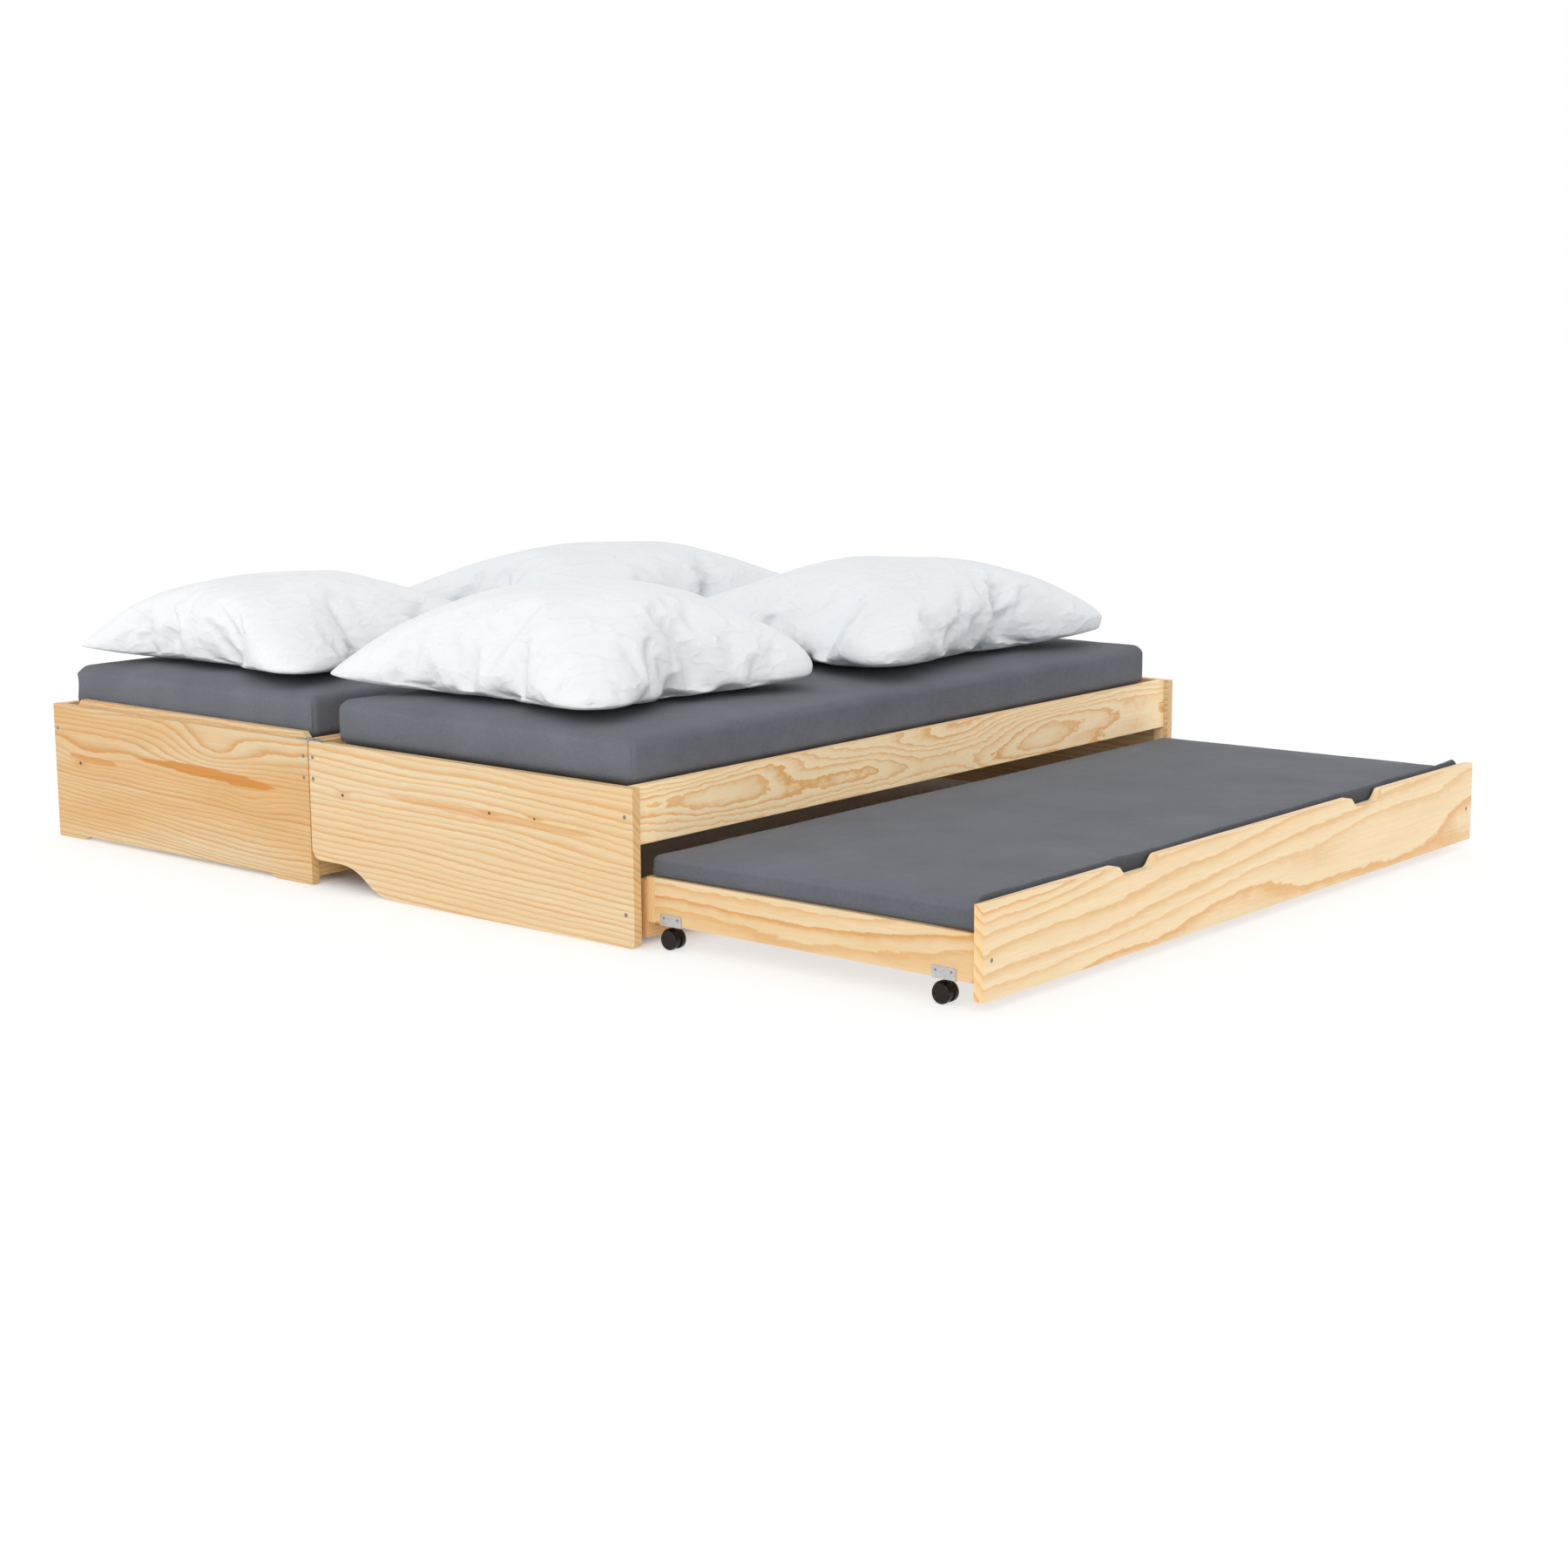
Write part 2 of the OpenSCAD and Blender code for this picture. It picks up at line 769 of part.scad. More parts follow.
module castor_axle_4() { color(ZINC) place() at_castor(4) castor_axle(); }
module castor_wheels_1() { color(BLACK) place() at_castor(1) castor_wheels(); }
module castor_wheels_2() { color(BLACK) place() at_castor(2) castor_wheels(); }
module castor_wheels_3() { color(BLACK) place() at_castor(3) castor_wheels(); }
module castor_wheels_4() { color(BLACK) place() at_castor(4) castor_wheels(); }

// ---------- bedding ----------

// a plain pad with round corners in plan, from corner a to corner b
module pad(a, b, r) {
    translate([0, 0, a[2]]) linear_extrude(b[2] - a[2]) {
        translate([a[0] + r, a[1]]) square([b[0] - a[0] - 2 * r, b[1] - a[1]]);
        translate([a[0], a[1] + r]) square([b[0] - a[0], b[1] - a[1] - 2 * r]);
        for (x = [a[0] + r, b[0] - r], y = [a[1] + r, b[1] - r]) translate([x, y]) circle(r = r);
    }
}

deck_top = ledger_z + slat_t;
mattress_y = [42, bed_len - 70];

module base_mattress() {
    color(SHEET) place() {
        pad([-base_w + 40, mattress_y[0], deck_top + gap], [-38, mattress_y[1], mattress_top], 35);
    }
}

module extension_mattress() {
    color(SHEET) place() {
        pad([55, mattress_y[0], deck_top + gap], [ext_outer_x - 8, mattress_y[1], mattress_top], 35);
    }
}

overhang = 16;          // the trundle's mattress lies this far over the side and rear boards
lip = [21, 16];         // width and height of its roll along the front board

// the lower part fits between the boards, the upper part spreads over their top edges,
// and the front edge rises over the front board
module trundle_mattress() {
    inner = [trundle_deck_x[0] + 4, trundle_deck_y0 + 3];
    far = [trundle_deck_x[1] - 4, trundle_deck_y1 - 3];
    boards_top = side_z + side_h + gap;
    color(SHEET) place() {
        pad([inner[0], inner[1], trundle_slat_z + slat_t + gap], [far[0], far[1], boards_top + 1], 30);
        pad([inner[0] - 4 - overhang, inner[1] - 3 - overhang, boards_top],
            [far[0], far[1] + 3 + overhang, trundle_mattress_top], 30);
        pad([far[0] - lip[0], inner[1] - 3 - overhang, boards_top],
            [far[0], far[1] + 3 + overhang, trundle_mattress_top + lip[1]], 10);
    }
}

// a plump pillow lying on a mattress, centred on [x, y]:
// the same lens-shaped outline seen from the side and from the end
pillow_half_outline = [[0.55, 0], [0.86, 0.14], [0.96, 0.28], [1, 0.4], [0.93, 0.6], [0.72, 0.85], [0.42, 1]];

function pillow_outline(width, thick) = [
    for (p = concat(pillow_half_outline, backwards([for (q = pillow_half_outline) [-q[0], q[1]]])))
    [p[0] * width / 2, p[1] * thick]
];

// size is [across the bed, along the bed, thickness]
module pillow(x, y, size) {
    translate([x, y, mattress_top + gap]) intersection() {
        rotate([90, 0, 0]) linear_extrude(size[1], center = true) polygon(pillow_outline(size[0], size[2]));
        rotate([90, 0, 90]) linear_extrude(size[0], center = true) polygon(pillow_outline(size[1], size[2]));
    }
}

module pillow_base_near() { color(COTTON) place() pillow(-525, 480, [850, 830, 210]); }
module pillow_base_far() { color(COTTON) place() pillow(-445, 1448, [905, 1080, 220]); }
module pillow_extension_near() { color(COTTON) place() pillow(422, 464, [866, 798, 245]); }
module pillow_extension_far() { color(COTTON) place() pillow(520, 1405, [830, 1000, 230]); }

base_end_panel_near();
base_end_panel_far();
base_end_batten_near();
base_end_batten_far();
base_outer_rail();
base_hinge_rail();
base_kick_board();
base_corner_blocks();
base_slat_ledgers();
base_slats();
base_slat_tapes();
base_screws();
hinge_leaves_base();
hinge_leaves_extension();
hinge_pins();
hinge_screws_base();
hinge_screws_extension();
extension_end_panel_near();
extension_end_panel_far();
extension_outer_rail();
extension_hinge_rail();
extension_slat_ledgers();
extension_slats();
extension_slat_tapes();
extension_stop_battens();
extension_screws();
trundle_front_board();
trundle_rear_board();
trundle_rear_skirt();
trundle_side_near();
trundle_side_far();
trundle_slat_ledgers();
trundle_slats();
trundle_slat_tapes();
trundle_screws();
castor_brackets();
castor_stem_1();
castor_hood_1();
castor_axle_1();
castor_wheels_1();
castor_stem_2();
castor_hood_2();
castor_axle_2();
castor_wheels_2();
castor_stem_3();
castor_hood_3();
castor_axle_3();
castor_wheels_3();
castor_stem_4();
castor_hood_4();
castor_axle_4();
castor_wheels_4();
base_mattress();
extension_mattress();
trundle_mattress();
pillow_base_near();
pillow_base_far();
pillow_extension_near();
pillow_extension_far();
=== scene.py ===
"""Looks of the trundle bed: pine boards, sheeted mattresses, four pillows, studio floor, lights and camera.

All lengths are in metres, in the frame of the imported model: x across the bed towards the trundle,
y along the bed, z up from the floor.
"""

import math

import bpy
import numpy as np
from mathutils import Euler, Matrix, Vector, noise


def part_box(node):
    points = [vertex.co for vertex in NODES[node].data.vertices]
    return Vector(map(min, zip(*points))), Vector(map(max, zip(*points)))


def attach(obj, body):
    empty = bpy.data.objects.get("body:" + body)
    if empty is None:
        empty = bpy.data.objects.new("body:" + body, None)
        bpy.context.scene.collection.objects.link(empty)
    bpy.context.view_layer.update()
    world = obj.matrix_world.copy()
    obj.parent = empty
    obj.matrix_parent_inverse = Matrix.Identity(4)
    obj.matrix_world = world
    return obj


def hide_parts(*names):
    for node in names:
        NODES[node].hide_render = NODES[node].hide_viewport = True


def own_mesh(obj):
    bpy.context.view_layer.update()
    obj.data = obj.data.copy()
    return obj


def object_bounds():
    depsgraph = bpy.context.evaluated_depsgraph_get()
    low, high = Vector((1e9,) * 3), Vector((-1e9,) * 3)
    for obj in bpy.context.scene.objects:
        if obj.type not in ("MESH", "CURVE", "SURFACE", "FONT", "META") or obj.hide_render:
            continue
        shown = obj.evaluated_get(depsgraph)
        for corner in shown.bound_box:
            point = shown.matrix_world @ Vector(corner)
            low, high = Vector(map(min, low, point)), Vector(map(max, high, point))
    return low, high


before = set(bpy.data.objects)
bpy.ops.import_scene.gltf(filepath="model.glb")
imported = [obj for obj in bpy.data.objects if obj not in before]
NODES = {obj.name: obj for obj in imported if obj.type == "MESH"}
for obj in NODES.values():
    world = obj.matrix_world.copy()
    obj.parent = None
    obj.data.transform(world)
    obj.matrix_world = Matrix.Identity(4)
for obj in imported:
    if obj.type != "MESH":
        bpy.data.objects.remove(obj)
cad_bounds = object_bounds()

# Colours, linear RGB.
PALE_WOOD = (0.860, 0.680, 0.425)
WARM_WOOD = (0.82, 0.515, 0.220)
LATE_WOOD = (0.700, 0.335, 0.080)
END_WOOD = (0.60, 0.32, 0.11)
RESIN = (0.70, 0.255, 0.018)
KNOT = (0.10, 0.040, 0.018)
SLATE = (0.135, 0.144, 0.164)
SLATE_DARK = (0.112, 0.119, 0.136)
COTTON = (0.790, 0.795, 0.805)
COTTON_SHADE = (0.77, 0.78, 0.795)
# The far pillows' cotton: the white cotton painted darker and bluer, a painted shade.
COTTON_IN_PAINTED_SHADE = (0.745, 0.770, 0.790)
COTTON_IN_PAINTED_SHADE_SLUB = (0.725, 0.75, 0.775)
ZINC = (0.56, 0.56, 0.57)
STEEL = (0.36, 0.31, 0.24)
NYLON = (0.010, 0.006, 0.004)
NYLON_DUST = (0.06, 0.05, 0.045)
TAPE = (0.62, 0.58, 0.50)
TAPE_WEFT = (0.40, 0.36, 0.29)
TAPE_DIRT = (0.34, 0.30, 0.24)
FLOOR = (0.96, 0.96, 0.96)
FLOOR_CLOUD = (0.86, 0.86, 0.86)
BLACK = (0.0, 0.0, 0.0)

# Share of the floor's light that comes from beneath it.
GLOW = 0.65

# Side, grid count and half depth of the flat pillow cover before it is filled.
PILLOW_SIDE = 0.84
PILLOW_CELLS = 72
PILLOW_DEPTH = 0.105

# Grid cell of a mattress's cover, and how far a sewn corner seam stands out.
SHEET_CELL = 0.026
SEAM_DEPTH = 0.006

# How strong the large soft box is and where it stands, and how bright the sky is on its dark side.
SOFT_BOX_STRENGTH = 0.95
SOFT_BOX_TOWARDS = (0.50, -0.74, 0.52)
DARK_SKY = 0.68

# The camera: its place in metres, its turns in degrees, and its focal length and sensor in millimetres.
CAMERA_PLACE = (4.2512, -4.9364, 1.2942)
CAMERA_HEADING = 40.07
CAMERA_TILT = 79.956
CAMERA_ROLL = -0.36
FOCAL_LENGTH = 61.52
SENSOR_WIDTH = 36.0


# ---------------------------------------------------------------- node materials


class Graph:
    """A material's node tree, with one short method for each kind of node used here."""

    def __init__(self, name):
        self.material = bpy.data.materials.new(name)
        self.material.use_nodes = True
        self.tree = self.material.node_tree
        self.tree.nodes.clear()

    def node(self, kind, **settings):
        made = self.tree.nodes.new("ShaderNode" + kind)
        for key, value in settings.items():
            setattr(made, key, value)
        return made

    def feed(self, socket, value):
        """A socket takes a constant, or a link from another node's output."""
        if isinstance(value, bpy.types.NodeSocket):
            self.tree.links.new(value, socket)
        elif isinstance(value, tuple) and len(value) == 3 and socket.type == "RGBA":
            socket.default_value = (*value, 1.0)
        else:
            socket.default_value = value

    def math(self, operation, a, b=0.0, c=0.0):
        made = self.node("Math", operation=operation)
        self.feed(made.inputs[0], a)
        self.feed(made.inputs[1], b)
        self.feed(made.inputs[2], c)
        return made.outputs[0]

    def add(self, a, b):
        return self.math("ADD", a, b)

    def sub(self, a, b):
        return self.math("SUBTRACT", a, b)

    def mul(self, a, b):
        return self.math("MULTIPLY", a, b)

    def rescale(self, value, from_low, from_high, to_low=0.0, to_high=1.0, smooth=True):
        made = self.node("MapRange", interpolation_type="SMOOTHSTEP" if smooth else "LINEAR")
        self.feed(made.inputs["Value"], value)
        for key, number in (
            ("From Min", from_low),
            ("From Max", from_high),
            ("To Min", to_low),
            ("To Max", to_high),
        ):
            self.feed(made.inputs[key], number)
        return made.outputs[0]

    def position(self):
        """x, y and z of the point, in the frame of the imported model."""
        coordinates = self.node("TexCoord")
        split = self.node("SeparateXYZ")
        self.feed(split.inputs[0], coordinates.outputs["Object"])
        return split.outputs[0], split.outputs[1], split.outputs[2]

    def normal(self):
        """x, y and z of the direction that the surface faces."""
        coordinates = self.node("TexCoord")
        split = self.node("SeparateXYZ")
        self.feed(split.inputs[0], coordinates.outputs["Normal"])
        return split.outputs[0], split.outputs[1], split.outputs[2]

    def vector(self, x, y, z):
        made = self.node("CombineXYZ")
        for socket, value in zip(made.inputs, (x, y, z)):
            self.feed(socket, value)
        return made.outputs[0]

    def noise(self, vector, scale=1.0, detail=2.0, roughness=0.5):
        made = self.node("TexNoise")
        self.feed(made.inputs["Vector"], vector)
        made.inputs["Scale"].default_value = scale
        made.inputs["Detail"].default_value = detail
        made.inputs["Roughness"].default_value = roughness
        return made.outputs[0]

    def chance(self, value):
        """A number from 0 to 1 that is fixed for each value."""
        made = self.node("TexWhiteNoise", noise_dimensions="1D")
        self.feed(made.inputs["W"], value)
        return made.outputs["Value"]

    def ramp(self, value, stops):
        made = self.node("ValToRGB")
        elements = made.color_ramp.elements
        while len(elements) < len(stops):
            elements.new(0.5)
        for element, (place, grey) in zip(elements, stops):
            element.position = place
            element.color = (grey, grey, grey, 1.0)
        self.feed(made.inputs[0], value)
        return made.outputs[0]

    def mix(self, share, a, b, blend="MIX"):
        made = self.node("Mix", data_type="RGBA", blend_type=blend)
        self.feed(made.inputs[0], share)
        self.feed(made.inputs[6], a)
        self.feed(made.inputs[7], b)
        return made.outputs[2]

    def bump(self, height, distance, strength=1.0, under=None):
        made = self.node("Bump")
        made.inputs["Strength"].default_value = strength
        made.inputs["Distance"].default_value = distance
        self.feed(made.inputs["Height"], height)
        if under is not None:
            self.feed(made.inputs["Normal"], under)
        return made.outputs[0]

    def surface(self, color, roughness, normal=None, **constants):
        """Ends the material in a Principled shader. Constants go on the shader's own sockets."""
        shader = self.node("BsdfPrincipled")
        self.feed(shader.inputs["Base Color"], color)
        self.feed(shader.inputs["Roughness"], roughness)
        if normal is not None:
            self.feed(shader.inputs["Normal"], normal)
        for key, value in constants.items():
            self.feed(shader.inputs[key.replace("_", " ")], value)
        output = self.node("OutputMaterial")
        self.feed(output.inputs["Surface"], shader.outputs[0])
        return self.material


def slat_by_slat(g, side, side_low, side_high, count, seed):
    """Place across one slat of a row of equal slats, and the luck that sets each slat's cut apart."""
    pitch = (side_high - side_low) / (count - 0.5)
    place = g.math("DIVIDE", g.sub(side, side_low - 0.25 * pitch), pitch)
    number = g.math("FLOOR", place)
    luck = g.chance(g.add(number, seed))
    across = g.mul(g.sub(g.sub(place, number), 0.5), pitch)
    return g.add(across, g.mul(g.sub(luck, 0.5), 0.09)), luck


def knot_marks(g, along, z, knots, shiver):
    """How far knots push the rings aside, their dark spots, and the resin round those.

    Each is None where there is nothing of its kind.
    """
    push, dark_spots, halo = None, None, None
    for knot_along, knot_up, radius, core in knots:
        across = g.sub(z, knot_up)
        down = g.mul(g.sub(along, knot_along), 0.8)
        distance = g.math("SQRT", g.add(g.mul(across, across), g.mul(down, down)))
        distance = g.add(distance, shiver)
        wide = g.math("SQRT", g.add(g.mul(across, across), g.mul(g.mul(down, down), 0.16)))
        swirl = g.math("EXPONENT", g.mul(g.mul(wide, wide), -1.0 / radius ** 2))
        swirl = g.mul(swirl, 0.73 * radius)
        push = swirl if push is None else g.add(push, swirl)
        if not core:
            continue
        spot = g.rescale(distance, 1.15 * core, 0.5 * core)
        glow = g.mul(g.rescale(wide, 3.4 * core, 0.8 * core), 0.32)
        dark_spots = spot if dark_spots is None else g.math("MAXIMUM", dark_spots, spot)
        halo = glow if halo is None else g.math("MAXIMUM", halo, glow)
    return push, dark_spots, halo


def late_wood(g, radius_out, ring, seed):
    """Share of hard late wood at a distance from the heart: each year darkens slowly and ends sharply."""
    years = g.math("DIVIDE", radius_out, ring)
    pace = g.noise(g.vector(g.mul(years, 0.37), seed, 0.0), 1.0, 1.0)
    years = g.add(years, g.mul(pace, 1.6))
    year = g.math("FLOOR", years)
    season = g.sub(years, year)
    late = g.ramp(season, ((0.0, 0.0), (0.34, 0.07), (0.60, 0.36), (0.80, 0.86), (0.93, 1.0), (1.0, 0.0)))
    vigour = g.rescale(g.chance(g.add(year, seed)), 0.0, 1.0, 0.55, 1.0, smooth=False)
    return g.mul(late, vigour)


def resin_streak(g, color, along, z, streak, stray, ragged):
    """Lays one long streak of resin, frayed by stray and ragged, over the colour."""
    streak_along, streak_up, half_length, half_height, share = streak
    run = g.math("DIVIDE", g.sub(along, streak_along), half_length)
    rise = g.add(g.sub(z, streak_up), g.mul(g.sub(along, streak_along), 0.03))
    rise = g.add(g.add(rise, stray), ragged)
    rise = g.math("DIVIDE", rise, half_height)
    lop = g.math("MAXIMUM", g.add(1.0, g.mul(run, -0.45)), 0.5)
    reach = g.add(g.mul(run, run), g.mul(g.mul(rise, rise), lop))
    return g.mix(g.rescale(reach, 1.1, 0.75, 0.0, share), color, RESIN)


def pine(
    name,
    nodes,
    grain,
    heart,
    ring=0.0065,
    wander=0.010,
    ripple=0.0008,
    lean=(0.0, 0.0),
    strength=0.9,
    warmth=0.3,
    repeat=0,
    knots=(),
    streaks=(),
    tone=1.0,
    seed=0.0,
):
    """Pine cut from a trunk whose year rings run along the grain axis.

    heart is the trunk's centre across the grain, measured from the middle of the boards' box, and lean is
    how far it shifts for each metre along the grain. A board far out from the heart shows few wide bands.
    ring is the width of a year. wander and ripple are how far the rings stray, over long and short
    stretches. strength is how dark the late wood is, and warmth how orange the early wood is. repeat is
    the number of equal slats side by side. A knot is (along, up, radius of the swirl, radius of the dark
    core), and a streak of resin is (along, up, half length, half height, share), in metres. tone lightens
    or darkens the whole board.
    """
    boxes = [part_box(node) for node in nodes]
    low = Vector([min(box[0][i] for box in boxes) for i in range(3)])
    high = Vector([max(box[1][i] for box in boxes) for i in range(3)])
    middle = (low + high) / 2
    g = Graph(name)
    x, y, z = g.position()
    nx, ny, _ = g.normal()
    if grain == "x":
        along, side, facing = x, y, nx
        along_middle, side_low, side_high = middle.x, low.y, high.y
    else:
        along, side, facing = y, x, ny
        along_middle, side_low, side_high = middle.y, low.x, high.x

    along_shift = seed
    side_local = g.sub(side, (side_low + side_high) / 2)
    if repeat:
        side_local, luck = slat_by_slat(g, side, side_low, side_high, repeat, seed)
        along_shift = g.add(g.mul(luck, 7.0), seed)
    up = g.sub(z, middle.z)
    far = g.add(along, along_shift)

    stretched = g.vector(g.mul(far, 1.5), g.mul(side_local, 6.0), g.mul(up, 6.5))
    sway = g.mul(g.sub(g.noise(stretched, 1.0, 1.0), 0.5), 5.0 * wander)
    crossed = g.vector(g.mul(far, 2.6), g.mul(up, 15.0), g.add(side_local, 3.7))
    sway_up = g.mul(g.sub(g.noise(crossed, 1.0, 1.0), 0.5), 1.6 * wander)
    fine = g.vector(g.mul(far, 26.0), g.mul(side_local, 60.0), g.mul(up, 60.0))
    shiver = g.mul(g.sub(g.noise(fine, 1.0, 3.0, 0.6), 0.5), 5.0 * ripple)
    push, dark_spots, halo = knot_marks(g, along, z, knots, shiver)
    if push is not None:
        sway = g.add(sway, push)

    shift = g.sub(along, along_middle)
    d_side = g.add(g.sub(side_local, heart[0]), g.add(sway, g.mul(shift, -lean[0])))
    d_up = g.add(g.sub(up, heart[1]), g.add(sway_up, g.mul(shift, -lean[1])))
    radius_out = g.math("SQRT", g.add(g.mul(d_side, d_side), g.mul(d_up, d_up)))
    late = late_wood(g, g.add(radius_out, shiver), ring, seed)

    broad = g.noise(g.vector(g.mul(far, 1.1), g.mul(side_local, 5.0), g.mul(up, 9.0)), 1.0, 2.0)
    fibre = g.noise(g.vector(g.mul(far, 22.0), g.mul(side, 700.0), g.mul(z, 700.0)), 1.0, 2.0)
    threads = g.noise(g.vector(g.mul(far, 6.0), g.mul(side, 160.0), g.mul(z, 160.0)), 1.0, 2.0)
    color = g.mix(g.mul(g.rescale(broad, 0.30, 0.65), warmth), PALE_WOOD, WARM_WOOD)
    color = g.mix(g.mul(late, strength), color, LATE_WOOD)
    for streak in streaks:
        ragged = g.add(g.mul(g.sub(threads, 0.5), 0.012), g.mul(shiver, 2.0))
        color = resin_streak(g, color, along, z, streak, g.mul(sway_up, 1.1), ragged)
    if halo is not None:
        color = g.mix(halo, color, RESIN)
        color = g.mix(dark_spots, color, KNOT)
    shade = g.rescale(fibre, 0.2, 0.8, 0.94 * tone, 1.04 * tone, smooth=False)
    shade = g.mul(shade, g.rescale(threads, 0.25, 0.75, 0.955, 1.03, smooth=False))
    color = g.mix(1.0, color, g.vector(shade, shade, shade), "MULTIPLY")
    end_grain = g.rescale(g.math("ABSOLUTE", facing), 0.6, 0.95)
    color = g.mix(g.mul(end_grain, 0.6), color, g.mix(late, WARM_WOOD, END_WOOD))
    roughness = g.rescale(late, 0.0, 1.0, 0.50, 0.40, smooth=False)
    roughness = g.add(roughness, g.mul(end_grain, 0.15))
    normal = g.bump(fibre, 0.00025, 0.5)
    normal = g.bump(late, 0.0003, 0.6, under=normal)
    material = g.surface(color, roughness, normal, Coat_Weight=0.05, Coat_Roughness=0.35,
                         Specular_IOR_Level=0.35)
    for node in nodes:
        wear(NODES[node], material)


def metal(name, tint, roughness, scratch=0.10):
    """Plated steel: fine cloudy variation, and short scratches that catch the light."""
    g = Graph(name)
    x, y, z = g.position()
    cloud = g.noise(g.vector(x, y, z), 180.0, 3.0, 0.6)
    lines = g.noise(g.vector(g.mul(x, 240.0), g.mul(y, 1900.0), g.mul(z, 1900.0)), 1.0, 2.0)
    shade = g.rescale(cloud, 0.25, 0.75, 0.78, 1.12, smooth=False)
    color = g.mix(1.0, tint, g.vector(shade, shade, shade), "MULTIPLY")
    rough = g.add(g.mul(lines, scratch), g.add(g.mul(cloud, 0.12), roughness))
    normal = g.bump(lines, 0.0001, 0.5)
    return g.surface(color, rough, normal, Metallic=0.9)


def moulded(name, tint):
    """Moulded nylon: fine spark-eroded grain, dust in the hollows."""
    g = Graph(name)
    x, y, z = g.position()
    grain = g.noise(g.vector(x, y, z), 1500.0, 2.0)
    dust = g.noise(g.vector(x, y, z), 90.0, 3.0, 0.65)
    color = g.mix(g.rescale(dust, 0.5, 0.8, 0.0, 0.12), tint, NYLON_DUST)
    rough = g.rescale(dust, 0.3, 0.8, 0.22, 0.40, smooth=False)
    return g.surface(color, rough, g.bump(grain, 0.00008, 0.6), Specular_IOR_Level=0.25)


def weave(g, x, y, z, pitch):
    """Height of a plain weave that wraps a body: it follows the two axes in the surface."""
    turn = 2.0 * math.pi / pitch
    nx, _, nz = g.normal()
    threads = []
    for place in (x, y, z):
        wave = g.math("SINE", g.mul(place, turn))
        threads.append(g.add(g.mul(wave, 0.5), 0.5))
    flat_share = g.math("ABSOLUTE", nz)
    side_share = g.math("ABSOLUTE", nx)
    first = g.math("MULTIPLY_ADD", g.sub(threads[1], threads[0]), side_share, threads[0])
    second = g.math("MULTIPLY_ADD", g.sub(threads[1], threads[2]), flat_share, threads[2])
    return g.mul(first, second)


def sheet_cloth(
    name, tint, dark, pitch, unevenness=0.10, crease=0.0015, painted_side_light=1.0, glow=0.0, pleats_and_front_shade=None
):
    """Woven cotton: threads, slubs, soft clouds of shade and small creases.

    pitch is the thread spacing, unevenness the spread of shade and crease the height of the creases.
    painted_side_light is how much lighter or darker the sides are painted than the top, a painted light
    and shade for how the light falls on them. glow is how much light wanders inside, and
    pleats_and_front_shade are the x where gathers begin and where they are deepest; where they are
    given, faces turned towards +x are also painted darker, a painted shade.
    """
    g = Graph(name)
    x, y, z = g.position()
    threads = weave(g, x, y, z, pitch)
    slub = g.noise(g.vector(g.mul(x, 60.0), g.mul(y, 900.0), g.mul(z, 900.0)), 1.0, 2.0)
    slub_across = g.noise(g.vector(g.mul(x, 900.0), g.mul(y, 60.0), g.mul(z, 60.0)), 1.0, 2.0)
    cloud = g.noise(g.vector(x, y, z), 5.0, 3.0, 0.55)
    folds = g.noise(g.vector(g.mul(x, 1.4), y, g.mul(z, 1.8)), 16.0, 2.0, 0.5)
    share = g.add(g.mul(slub, 0.5), g.mul(slub_across, 0.5))
    share = g.rescale(share, 0.3, 0.7, 0.0, 0.75, smooth=False)
    color = g.mix(share, tint, dark)
    shade = g.rescale(cloud, 0.3, 0.7, 1.0 - unevenness, 1.0 + unevenness, smooth=False)
    grain = g.noise(g.vector(x, y, z), 330.0, 2.0, 0.7)
    shade = g.mul(shade, g.rescale(grain, 0.3, 0.7, 1.0 - unevenness, 1.0 + unevenness, smooth=False))
    # Painted light and shade: upright faces are painted lighter or darker than the top, for how the light
    # falls on them.
    shade = g.mul(shade, g.rescale(g.math("ABSOLUTE", g.normal()[2]), 0.1, 0.8, painted_side_light, 1.0))
    crumple = g.noise(g.vector(x, g.mul(y, 0.8), g.mul(z, 1.4)), 11.0, 2.0, 0.55)
    ridge = g.math("POWER", g.sub(1.0, g.math("ABSOLUTE", g.sub(g.mul(crumple, 2.0), 1.0))), 7.0)
    normal = g.bump(threads, 0.0002, 0.45)
    normal = g.bump(g.add(slub, slub_across), 0.0002, 0.4, under=normal)
    normal = g.bump(g.add(folds, g.mul(ridge, 0.45)), crease, 0.8, under=normal)
    if pleats_and_front_shade:
        gathers = g.noise(g.vector(g.mul(x, 9.0), g.mul(y, 85.0), g.mul(z, 9.0)), 1.0, 1.0)
        where = g.noise(g.vector(0.0, g.mul(y, 4.5), 0.7), 1.0, 1.0)
        where = g.mul(g.rescale(where, 0.42, 0.60), g.rescale(x, pleats_and_front_shade[0], pleats_and_front_shade[1]))
        normal = g.bump(g.mul(gathers, where), 0.007, 1.0, under=normal)
        # Painted shade: faces turned towards +x, the front of the trundle mattress, are painted darker.
        shade = g.mul(shade, g.rescale(g.normal()[0], 0.3, 0.9, 1.0, 0.62))
    color = g.mix(1.0, color, g.vector(shade, shade, shade), "MULTIPLY")
    rough = g.rescale(slub, 0.2, 0.8, 0.78, 0.92, smooth=False)
    return g.surface(color, rough, normal, Sheen_Weight=0.05, Sheen_Roughness=0.45,
                     Specular_IOR_Level=0.2, Subsurface_Weight=glow,
                     Subsurface_Radius=(0.05, 0.05, 0.05), Subsurface_Scale=1.0)


